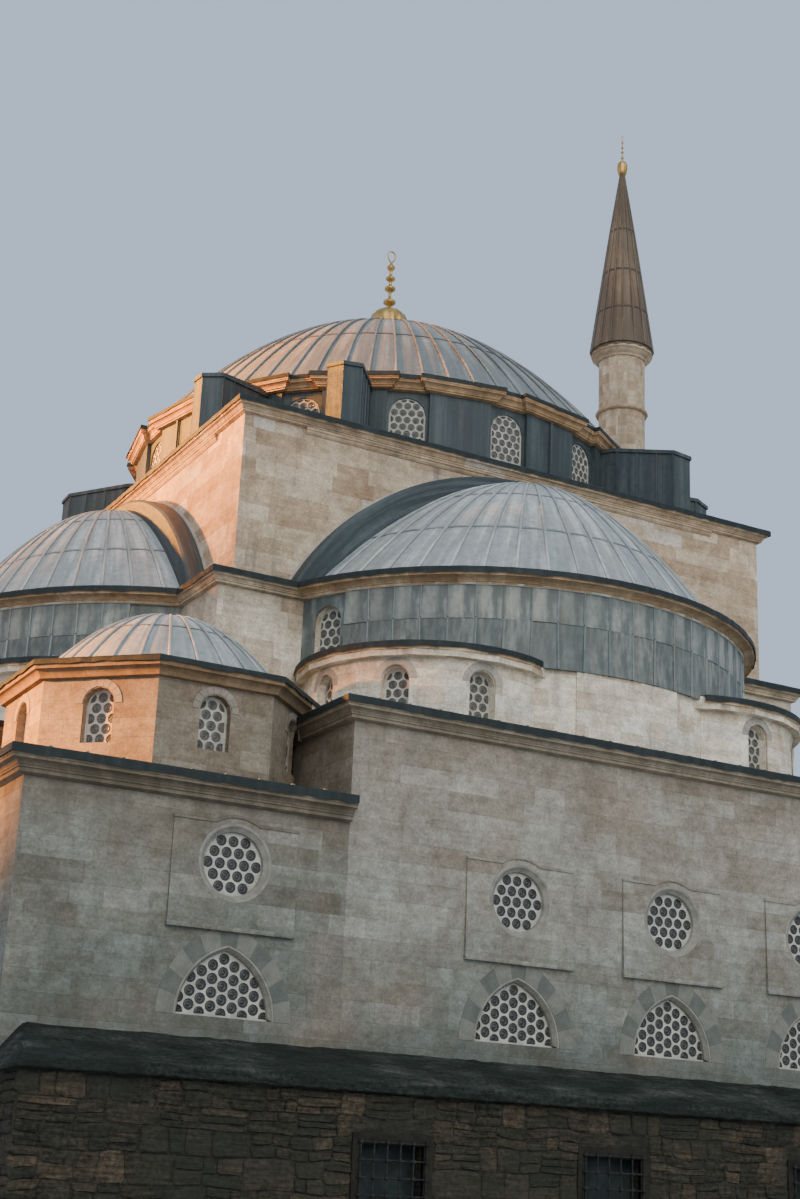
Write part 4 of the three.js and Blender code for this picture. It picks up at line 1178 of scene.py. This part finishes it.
def build_half_drum_skins():
    """Lead cladding of the half drums and the stone faces of the exedrae"""
    lead, battens, stone, arches, turret_arches = Form(), Form(), Form(), Form(), Form()
    low = 11.6
    fillet = half_drum_sheets(lead, battens, low, 12.55, PIER_TOP - 0.24)
    width, sill, crown = EXEDRA_WINDOW
    opening = round_arch(width + 0.02, sill - 0.01, crown + 0.01)
    for centre, axis, angles in exedrae():
        reach = math.radians(EXEDRA_SPAN + 1) * EXEDRA_R
        holes = []
        for azimuth in angles:
            shift = math.radians(azimuth - axis) * EXEDRA_R
            holes.append([(u + shift, v) for u, v in opening])
            arch_stones(arches, on_drum(centre, EXEDRA_R, azimuth, 0.03), 0.275, 11.01, 0.14, 9)
        points, faces = plate([box(-reach, reach, CENTRE_TOP, 11.42)] + holes, 0.03,
                              cuts=even(-reach, reach, 0.2)[1:-1])
        stone.add(points, faces, on_drum(centre, EXEDRA_R, axis, 0.004))
    for azimuth in TURRET_ANGLES:
        place = on_wall(polar(TURRET, TURRET_APOTHEM, azimuth), azimuth)
        arch_stones(turret_arches, place, 0.3, 9.425, 0.13, 9)
    reach = math.radians(12) * NICHE_R
    points, faces = plate([box(-reach, reach, CENTRE_TOP, low)], 0.03, cuts=even(-reach, reach, 0.2)[1:-1])
    stone.add(points, faces, on_drum(NICHE, NICHE_R, -90, 0.004))
    make("half_drum_fillets", fillet, PLASTER, "plaster", quarters=True)
    make("half_drum_lead", lead, NICHE_LEAD, "lead", quarters=True)
    make("half_drum_battens", battens, BATTEN_LEAD, "lead", quarters=True)
    make("exedra_stone", stone, ASHLAR_SKIN, "ashlar", quarters=True)
    make("exedra_arch_stones", arches, ARCH_STONE, "ashlar", quarters=True)
    make("turret_arch_stones", turret_arches, TURRET_ARCH, "ashlar", quarters=True)


def build_buttress_lead():
    """Battens on the sides of each buttress and an overhanging cap on its sloping top"""
    battens, caps = Form(), Form()
    fall = (BUTTRESS_INNER_TOP - BUTTRESS_TOP) / (BUTTRESS_TIP - BUTTRESS_INNER)
    wide, shoulder = BUTTRESS_HALF + 0.035, BUTTRESS_SHOULDER + 0.02
    section = ((-0.03, -0.01), (-0.022, 0.022), (0.022, 0.022), (0.03, -0.01))
    plan = [(6.3, -wide), (BUTTRESS_INNER, -wide), (shoulder, -wide), (BUTTRESS_TIP + 0.045, 0),
            (shoulder, wide), (BUTTRESS_INNER, wide), (6.3, wide)]

    def crown(r):
        return BUTTRESS_INNER_TOP - max(0.0, r - BUTTRESS_INNER) * fall
    for angle in BUTTRESS_ANGLES:
        def place(r, side, z):
            x, y = polar((0, 0), r, angle)
            turn = math.radians(angle)
            return x - side * math.sin(turn), y + side * math.cos(turn), z
        loft(caps, [[place(r, side, crown(r) + lift) for r, side in plan] for lift in (-0.06, 0.03)])
        for sign in (-1, 1):
            for r in (6.75, 7.25, 7.75, BUTTRESS_SHOULDER - 0.03):
                loft(battens, [[place(r + along, sign * (BUTTRESS_HALF + out), z) for along, out in section]
                               for z in (BLOCK_TOP, crown(r) - 0.05)])
    pilaster, joint = 11.25, 18.4
    for z0, z1 in ((BLOCK_TOP, joint), (joint, DRUM_TOP - 0.02)):
        loft(battens, [[(*polar((0, 0), DRUM_R + PILASTER_OUT + out, pilaster + along), z) for along, out in
                        ((-0.3, -0.02), (-0.2, 0.025), (0.2, 0.025), (0.3, -0.02))] for z in (z0, z1)])
    make("buttress_battens", battens, DRUM_LEAD, "lead", quarters=True)
    make("buttress_caps", caps, DRUM_LEAD, "lead", quarters=True)


# Rubble basement
def rubble_courses(form, place, start, end, top, blocked, chance):
    """Rough stones in uneven courses, some in two or three thin layers, clear of the blocked boxes"""
    base = 0.0
    while base < top - 0.05:
        height = min(chance.uniform(0.27, 0.46), top - base)
        if top - base - height < 0.2:
            height = top - base
        spans = [(start, end)]
        for u0, u1, v0, v1 in blocked:
            if base < v1 - 0.03 and base + height > v0 + 0.03:
                spans = [piece for a, b in spans for piece in ((a, min(b, u0)), (max(a, u1), b))
                         if piece[1] - piece[0] > 0.12]
        for left, end_of_span in spans:
            while left < end_of_span - 0.02:
                right = left + chance.uniform(0.35, 0.95)
                if end_of_span - right < 0.25:
                    right = end_of_span
                rubble_layers(form, place, left, right, base, height, chance)
                left = right
        base += height


def rubble_layers(form, place, left, right, base, height, chance):
    """One to three thin layers of a course between two ends, some of them in two stones"""
    layers = chance.choice((1, 1, 2, 2, 3))
    levels = [base] + [base + height * (k + chance.uniform(-0.15, 0.15)) / layers
                       for k in range(1, layers)] + [base + height]
    for low, high in zip(levels, levels[1:]):
        ends = (left, right)
        if right - left > 0.5 and chance.random() < 0.45:
            ends = (left, left + (right - left) * chance.uniform(0.35, 0.65), right)
        for u0, u1 in zip(ends, ends[1:]):
            rubble_stone(form, place, u0, u1, low, high, chance)


# Without a seed noise_vector takes its offsets from the clock
noise.seed_set(4)


def wavering(u, v):
    """Shifts a point of the rubble pattern, so that its joints waver, and keeps it off the ground"""
    shift = noise.noise_vector(Vector((u * 1.6, v * 2.1, 4.2)))
    return u + 0.08 * shift.x, max(0.0, v + 0.06 * shift.y)


# Outline of a rubble stone in shares of its width and height
STONE_OUTLINE = ((0.1, 0), (0.5, 0), (0.92, 0), (1, 0.15), (1, 0.85), (0.9, 1), (0.5, 1), (0.07, 1),
                 (0, 0.8), (0, 0.2))
STONE_GAP, STONE_SLACK = 0.004, 0.014


def rubble_stone(form, place, u0, u1, v0, v1, chance):
    slack, wide, tall = STONE_SLACK, u1 - u0 - 2 * STONE_GAP, v1 - v0 - 2 * STONE_GAP
    loop = [wavering(u0 + STONE_GAP + wide * s + chance.uniform(-slack, slack),
                     v0 + STONE_GAP + tall * t + chance.uniform(-slack, slack) * 0.6)
            for s, t in STONE_OUTLINE]
    um, vm = wavering((u0 + u1) / 2, (v0 + v1) / 2)
    proud = chance.uniform(0.008, 0.03)
    rows = []
    for share, w in ((1.0, -0.03), (0.98, proud * 0.6), (0.85, proud + 0.006)):
        rows.append([place(um + (u - um) * share, vm + (v - vm) * share, w + chance.uniform(-0.004, 0.008))
                     for u, v in loop])
    loft(form, rows, tone=chance.random() ** 1.4)


def bar(form, place, ends, radius, along_u):
    """A forged bar through two points in the plane of the wall"""
    ring = [(a, b + BAR_DEPTH) for a, b in circle(radius, sides=6)]
    loft(form, [[place(u, v + a, w) if along_u else place(u + a, v, w) for a, w in ring] for u, v in ends])


def build_copings():
    """A rough weathered skin on each sloping coping, with hipped ends and an uneven lower edge"""
    form = Form()
    nose, foot, step = BASEMENT_FACE + 0.15, BASEMENT_TOP - 0.18, 0.11
    start, end, hip = HALL + 0.005, HALL + 0.2, 0.6
    fall = (COPING_TOP - (BASEMENT_TOP - 0.02)) / (nose - HALL)

    def uneven(x, y, z):
        return noise.noise(Vector((x, y, z)))
    rows, tones = [], []
    for x in even(-end, end, step):
        ceiling = BASEMENT_TOP - 0.2 + (end - abs(x)) * (COPING_TOP - BASEMENT_TOP + 0.2) / hip
        row = []
        for y in even(start, nose, step):
            rough = 0.02 * uneven(x * 4, y * 4, 1) + 0.012 * uneven(x * 15, y * 15, 3)
            row.append((x, -y, min(COPING_TOP - (y - HALL) * fall, ceiling) + 0.016 + rough))
            tones.append(min(1.0, max(0.0, 0.5 + 0.9 * uneven(x * 1.1, y * 2.0, 6) + 8 * rough)))
        ragged = 0.03 * uneven(x * 5, 0, 9)
        under = ((nose + 0.012, foot + 0.1), (nose + 0.012 + ragged / 2, foot + 0.01 + ragged),
                 (nose - 0.05, foot - 0.01 + ragged), (nose - 0.1, foot + 0.08), (start, COPING_TOP - 0.08))
        row += [(x, -y, min(z, ceiling - 0.02)) for y, z in under]
        # The nose and underside take a low tone, dark in the coping finish: painted shade under the coping
        tones += [0.2] * len(under)
        rows.append(row)
    loft(form, rows, tone=tones)
    piece = new_object("coping_skins", form, COPING)
    turned_copies(piece, 2)
    hand_over(piece, "rubble")


def build_grille(bars, frames, panes, place, middle):
    """Window of the basement: flat stone frame, a pane, crossed bars and a boss at each crossing"""
    half, low, high, wide = GRILLE_HALF, GRILLE_SILL, GRILLE_HEAD, GRILLE_HALF + GRILLE_BORDER
    outer = box(middle - wide, middle + wide, low - GRILLE_BORDER, high + GRILLE_BORDER)
    inner = box(middle - half, middle + half, low, high)
    frames.add(*plate([outer, inner], 0.08), lambda u, v, w: place(u, v, w - 0.04))
    panes.add(*plate([inner], 0.02), lambda u, v, w: place(u, v, w - 0.3))
    uprights = [middle + u for u in even(-half - 0.03, half + 0.03, 0.24)]
    for u in uprights:
        bar(bars, place, ((u, low - 0.08), (u, high + 0.08)), 0.015, False)
    ring = circle(1, sides=6)
    for v in even(low - 0.02, high + 0.03, 0.27):
        bar(bars, place, ((middle - half - 0.08, v), (middle + half + 0.08, v)), 0.015, True)
        for u in uprights:
            loft(bars, [[place(u + a * r, v + b * r, w + BAR_DEPTH) for a, b in ring]
                        for r, w in ((0.02, -0.04), (0.038, -0.02), (0.038, 0.02), (0.02, 0.04))])


def build_basement():
    chance = random.Random(23)
    long_sides, short_sides, bars, frames, panes = Form(), Form(), Form(), Form(), Form()
    wide, jamb = GRILLE_HALF + GRILLE_BORDER, 0.3
    spring = DOOR_CROWN - DOOR_HALF
    for azimuth in (-90, 90):
        place = on_wall(polar((0, 0), BASEMENT_FACE, azimuth), azimuth)
        middles = [x for x in GRILLE_XS if azimuth < 0 or abs(x) > 3]
        blocked = [(x - wide, x + wide, GRILLE_SILL - GRILLE_BORDER, GRILLE_HEAD + GRILLE_BORDER)
                   for x in middles]
        if azimuth > 0:
            blocked.append((-DOOR_HALF - jamb, DOOR_HALF + jamb, 0.0, DOOR_CROWN + jamb))
            arch_stones(frames, place, DOOR_HALF, spring, jamb, 11, 0.06)
            levels = even(0, spring, 0.45)
            for sign in (-1, 1):
                a, b = sorted((sign * DOOR_HALF, sign * (DOOR_HALF + jamb)))
                for v0, v1 in zip(levels, levels[1:]):
                    frames.add(*plate([box(a, b, v0 + 0.006, v1 - 0.006)], 0.06), place)
        rubble_courses(long_sides, place, -HALL, HALL, BASEMENT_TOP - 0.2, blocked, chance)
        for x in middles:
            build_grille(bars, frames, panes, place, x)
    for azimuth in (0, 180):
        place = on_wall(polar((0, 0), HALL, azimuth), azimuth)
        rubble_courses(short_sides, place, -BASEMENT_FACE, BASEMENT_FACE, BASEMENT_TOP - 0.02, (), chance)
    make("rubble_front_and_back", long_sides, RUBBLE, "rubble")
    make("rubble_sides", short_sides, RUBBLE, "rubble")
    make("window_grilles", bars, IRON, "iron")
    make("basement_panes", panes, PANE_GLASS, "glass")
    make("basement_frames", frames, FRAME_STONE, "ashlar")


# Roofs of lead sheets between rolls
def roof_sheets(form, rolls, loops, top, depth=0.03, pitch=0.62):
    """A sheet inside the first loop and outside the others, with a roll at every pitch along x"""
    points, faces = plate(loops, depth)
    form.add(points, faces, lambda u, v, w: (u, v, top + w))
    edges = [(a, b) for loop in loops for a, b in zip(loop, loop[1:] + loop[:1])]
    section = ((-0.032, 0), (-0.025, 0.045), (0.025, 0.045), (0.032, 0))
    low, high = min(p[0] for p in loops[0]), max(p[0] for p in loops[0])
    for x in even(low, high, pitch)[1:-1]:
        x += 0.0007
        ys = sorted(a[1] + (b[1] - a[1]) * (x - a[0]) / (b[0] - a[0])
                    for a, b in edges if (a[0] - x) * (b[0] - x) < 0)
        for y0, y1 in zip(ys[::2], ys[1::2]):
            if y1 - y0 > 0.2:
                loft(rolls, [[(x + a, y, top + depth - 0.01 + b) for a, b in section]
                             for y in (y0 + 0.04, y1 - 0.04)])


def build_roofs():
    sheets, rolls, flashing = Form(), Form(), Form()
    edge, side = HALL + BAY_CORNICE[0], -CENTRE_HALF
    turn = math.tan(math.radians(22.5)) * TURRET_APOTHEM
    far = TURRET[1] - TURRET_APOTHEM
    near = far + side - TURRET[0] - turn
    half_way = [(side, -edge), (side, near), (TURRET[0] + turn, far), (TURRET[0] - turn, far)]
    bay = [(-edge, -edge)] + half_way + [(y, x) for x, y in reversed(half_way)]
    roof_sheets(sheets, rolls, [bay], BAY_TOP)

    edge, front = CENTRE_HALF + CENTRE_CORNICE[0], -HALL - CENTRE_CORNICE[0]
    back = math.degrees(math.asin((-PIER_OUT - NICHE[1]) / NICHE_R))
    (left, axis, _), (right, other, _) = exedrae()
    first = direction(NICHE, polar(left, EXEDRA_R, axis - EXEDRA_SPAN))
    second = direction(NICHE, polar(left, EXEDRA_R, axis + EXEDRA_SPAN))
    foot = arc(NICHE, NICHE_R, -180 - back, first)
    foot += arc(left, EXEDRA_R, axis - EXEDRA_SPAN, axis + EXEDRA_SPAN, 6)
    foot += arc(NICHE, NICHE_R, second, mirrored(second))
    foot += arc(right, EXEDRA_R, other - EXEDRA_SPAN, other + EXEDRA_SPAN, 6)
    foot = tidy_loop(foot + arc(NICHE, NICHE_R, mirrored(first), back), 0.02)
    centre = foot + [(edge, -PIER_OUT), (edge, front), (-edge, front), (-edge, -PIER_OUT)]
    roof_sheets(sheets, rolls, [centre[::-1]], CENTRE_TOP)

    lip, foot_of_drum = BLOCK_HALF + BLOCK_CORNICE[0], 6.3
    quarter = [(0.0, -lip), (0.0, -foot_of_drum)] + arc((0, 0), foot_of_drum, -90, -180, 6)
    quarter = tidy_loop(quarter + [(-lip, 0.0), (-lip, -lip)])
    roof_sheets(sheets, rolls, [quarter[::-1]], BLOCK_TOP)

    out, inside = PIER_OUT + PIER_CORNICE[0], 5.5
    pier = [(-out, -out), (-inside, -out), (-inside, -BLOCK_HALF), (-BLOCK_HALF, -BLOCK_HALF),
            (-BLOCK_HALF, -inside), (-out, -inside)]
    roof_sheets(sheets, rolls, [pier], PIER_TOP, depth=0.02)

    for middle, axis, _ in exedrae():
        outer = arc(middle, EXEDRA_R + EXEDRA_CORNICE[0], axis - EXEDRA_SPAN, axis + EXEDRA_SPAN, 6)
        inner = arc(NICHE, NICHE_R + 0.04, direction(NICHE, outer[-1]), direction(NICHE, outer[0]), 4)
        roof_sheets(sheets, rolls, [outer + inner], EXEDRA_TOP, pitch=0.5)
    skirt = [(-0.02, 0.02), (0.13, 0.02), (0.13, 0.045), (0.03, 0.2), (-0.02, 0.22)]
    sweep(flashing, octagon(TURRET_APOTHEM), skirt, BAY_TOP, closed=True)
    sweep(flashing, foot, skirt, CENTRE_TOP)
    make("roof_sheets", sheets, ROOF_LEAD, "lead", quarters=True)
    make("roof_rolls", rolls, ROOF_LEAD, "lead", quarters=True)
    make("roof_flashings", flashing, FLASHING_LEAD, "lead", quarters=True)


# Minaret and finials
def build_minaret():
    """String courses, corbel tiers, parapet panels and the eave of the cone"""
    bands, brackets = Form(), Form()
    sides, neck, rim = 16, 0.82, 1.75
    step = 360 / sides

    def round_path(radius):
        return [polar(MINARET, radius, step * (k + 0.5)) for k in range(sides)]
    torus = [(-0.04, 0.0), (0.06, -0.01), (0.1, -0.05), (0.1, -0.1), (0.06, -0.14), (-0.04, -0.16)]
    for radius, top in ((1.03, 11.1), (0.95, 15.2), (0.95, 19.4), (0.95, 23.55), (neck, 28.3)):
        sweep(bands, round_path(radius), torus, top, closed=True)
    eave = [(-0.03, 0.02), (0.26, 0.02), (0.26, -0.05), (0.21, -0.08), (0.15, -0.17), (0.07, -0.23),
            (0.05, -0.3), (-0.03, -0.33)]
    sweep(bands, round_path(neck), eave, 30.5, closed=True)
    rail = [(-0.16, 0.0), (-0.16, 0.05), (0.03, 0.06), (0.06, 0.03), (0.03, -0.04), (-0.02, -0.04),
            (-0.02, 0.0)]
    sweep(bands, round_path(rim), rail, 25.3, closed=True)
    make("minaret_mouldings", bands, MOULDING, "ashlar")

    panel = on_wall(polar(MINARET, rim * math.cos(math.pi / sides), step / 2), step / 2)
    brackets.add(*plate([box(-0.33, 0.33, 24.3, 25.27), box(-0.22, 0.22, 24.45, 25.12)], 0.03), panel)
    tiers = ((23.62, 23.84, 1.1, 1.28), (23.84, 24.06, 1.27, 1.47), (24.06, 24.3, 1.45, 1.68))
    for k, (z0, z1, r0, r1) in enumerate(tiers):
        levels = ((z0, r0 + 0.02, 0.35), ((z0 + z1) / 2, r0 + 0.06, 0.8), (z1 - 0.05, r1, 1), (z1, r1, 1))
        for half in (0, 1):
            middle = (half + k % 2 / 2) * step / 2
            loft(brackets, [[(*polar(MINARET, r, middle + side * spread * step / 4), z)
                             for r, side in ((r0 - 0.15, -1), (reach, -1), (reach, 1), (r0 - 0.15, 1))]
                            for z, reach, spread in levels])
    piece = new_object("minaret_corbels", brackets, ASHLAR)
    turned_copies(piece, sides, MINARET)
    hand_over(piece, "ashlar")


# Finial of the dome in metres: radius and height of the cap; height, radius and half height of each bulb
FINIAL_CAP = ((0.33, 0.0), (0.44, 0.12), (0.5, 0.3), (0.53, 0.5), (0.52, 0.66), (0.46, 0.8), (0.34, 0.91),
              (0.2, 0.98), (0.09, 1.01), (0.055, 1.04))
FINIAL_BULBS = ((1.22, 0.17, 0.1), (1.63, 0.15, 0.09), (1.94, 0.13, 0.08), (2.28, 0.11, 0.09))


def gilt_finial(form, foot, at, wide, tall):
    """A melon-shaped cap, a stem with four bulbs and a drop-shaped loop"""
    sides, flutes = 48, 12
    rows = []
    for r, z in FINIAL_CAP:
        row = []
        for k in range(sides):
            flute = 0.08 * (0.5 + 0.5 * math.cos(flutes * 2 * math.pi * k / sides)) * min(1, r / 0.3)
            row.append((*polar(at, r * (1 - flute) * wide, 360 * k / sides), foot + z * tall))
        rows.append(row)
    loft(form, rows)
    stem = [(0.05, 0.96)]
    for middle, radius, half in FINIAL_BULBS:
        stem += [(0.04, middle - half - 0.02), (radius * 0.6, middle - half * 0.8),
                 (radius, middle - half * 0.25), (radius, middle + half * 0.25),
                 (radius * 0.6, middle + half * 0.8), (0.04, middle + half + 0.02)]
    stem += [(0.033, 2.42), (0.026, 2.45)]
    loft(form, [[(*polar(at, r * wide, 360 * k / 20), foot + z * tall) for k in range(20)] for r, z in stem])
    loop = []
    for k in range(28):
        angle = 2 * math.pi * k / 28
        reach = 0.11 * math.sin(angle) * (1 - 0.35 * math.cos(angle))
        row = []
        for b in (2 * math.pi * j / 8 for j in range(8)):
            thick = 0.02 * math.cos(b)
            row.append((at[0] + (reach + thick * math.sin(angle)) * wide, at[1] + 0.02 * math.sin(b) * wide,
                        foot + (2.61 - 0.165 * math.cos(angle) - thick * math.cos(angle)) * tall))
        loop.append(row)
    loft(form, loop, closed=True)


def build_finials():
    for name, foot, at, wide, tall in (("dome_finial", DOME_TOP, (0, 0), 1.0, 1.0),
                                       ("minaret_finial", CONE_TOP, MINARET, 0.36, 0.6)):
        form = Form(smooth=True)
        gilt_finial(form, foot - 0.02, at, wide, tall)
        make(name + "_gilt", form, GILT, "gilt", nodes=(name,))


def carry_over():
    """Finishes for the masonry that shows as it is"""
    finishes = {"windows": GLASS, "glass": GLASS, "coping": COPING, "half_dome": DOME_LEAD,
                "turret_dome": DOME_LEAD, "main_dome": MAIN_LEAD, "finial": GILT, "minaret_cap": CONE_LEAD,
                "drum_cornice": WARM_MOULDING}
    for name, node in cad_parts.items():
        finish = ASHLAR
        if name == "drum":
            finish = DRUM_LEAD
        elif name.startswith("basement") and "coping" not in name:
            finish = MORTAR
        else:
            for ending, other in finishes.items():
                if name.endswith(ending):
                    finish = other
        node.data.materials.clear()
        node.data.materials.append(finish)


def set_floor():
    mesh = bpy.data.meshes.new("floor")
    reach = 120
    mesh.from_pydata([(x, y, 0) for x, y in box(-reach, reach, -reach, reach)], [], [(0, 1, 2, 3)])
    mesh.materials.append(plain_finish("pale_floor", grey(0.62), grey(0.66), 0.9, 0.5, depth=0.001))
    floor = bpy.data.objects.new("floor", mesh)
    floor.location.z = -0.002
    bpy.context.scene.collection.objects.link(floor)


set_camera()
set_light()
set_floor()
carry_over()
build_cornices()
build_drum_cornice()
build_windows()
build_hall_window_stones()
build_domes()
build_rims()
build_half_drum_skins()
build_buttress_lead()
build_basement()
build_copings()
build_roofs()
build_minaret()
build_finials()
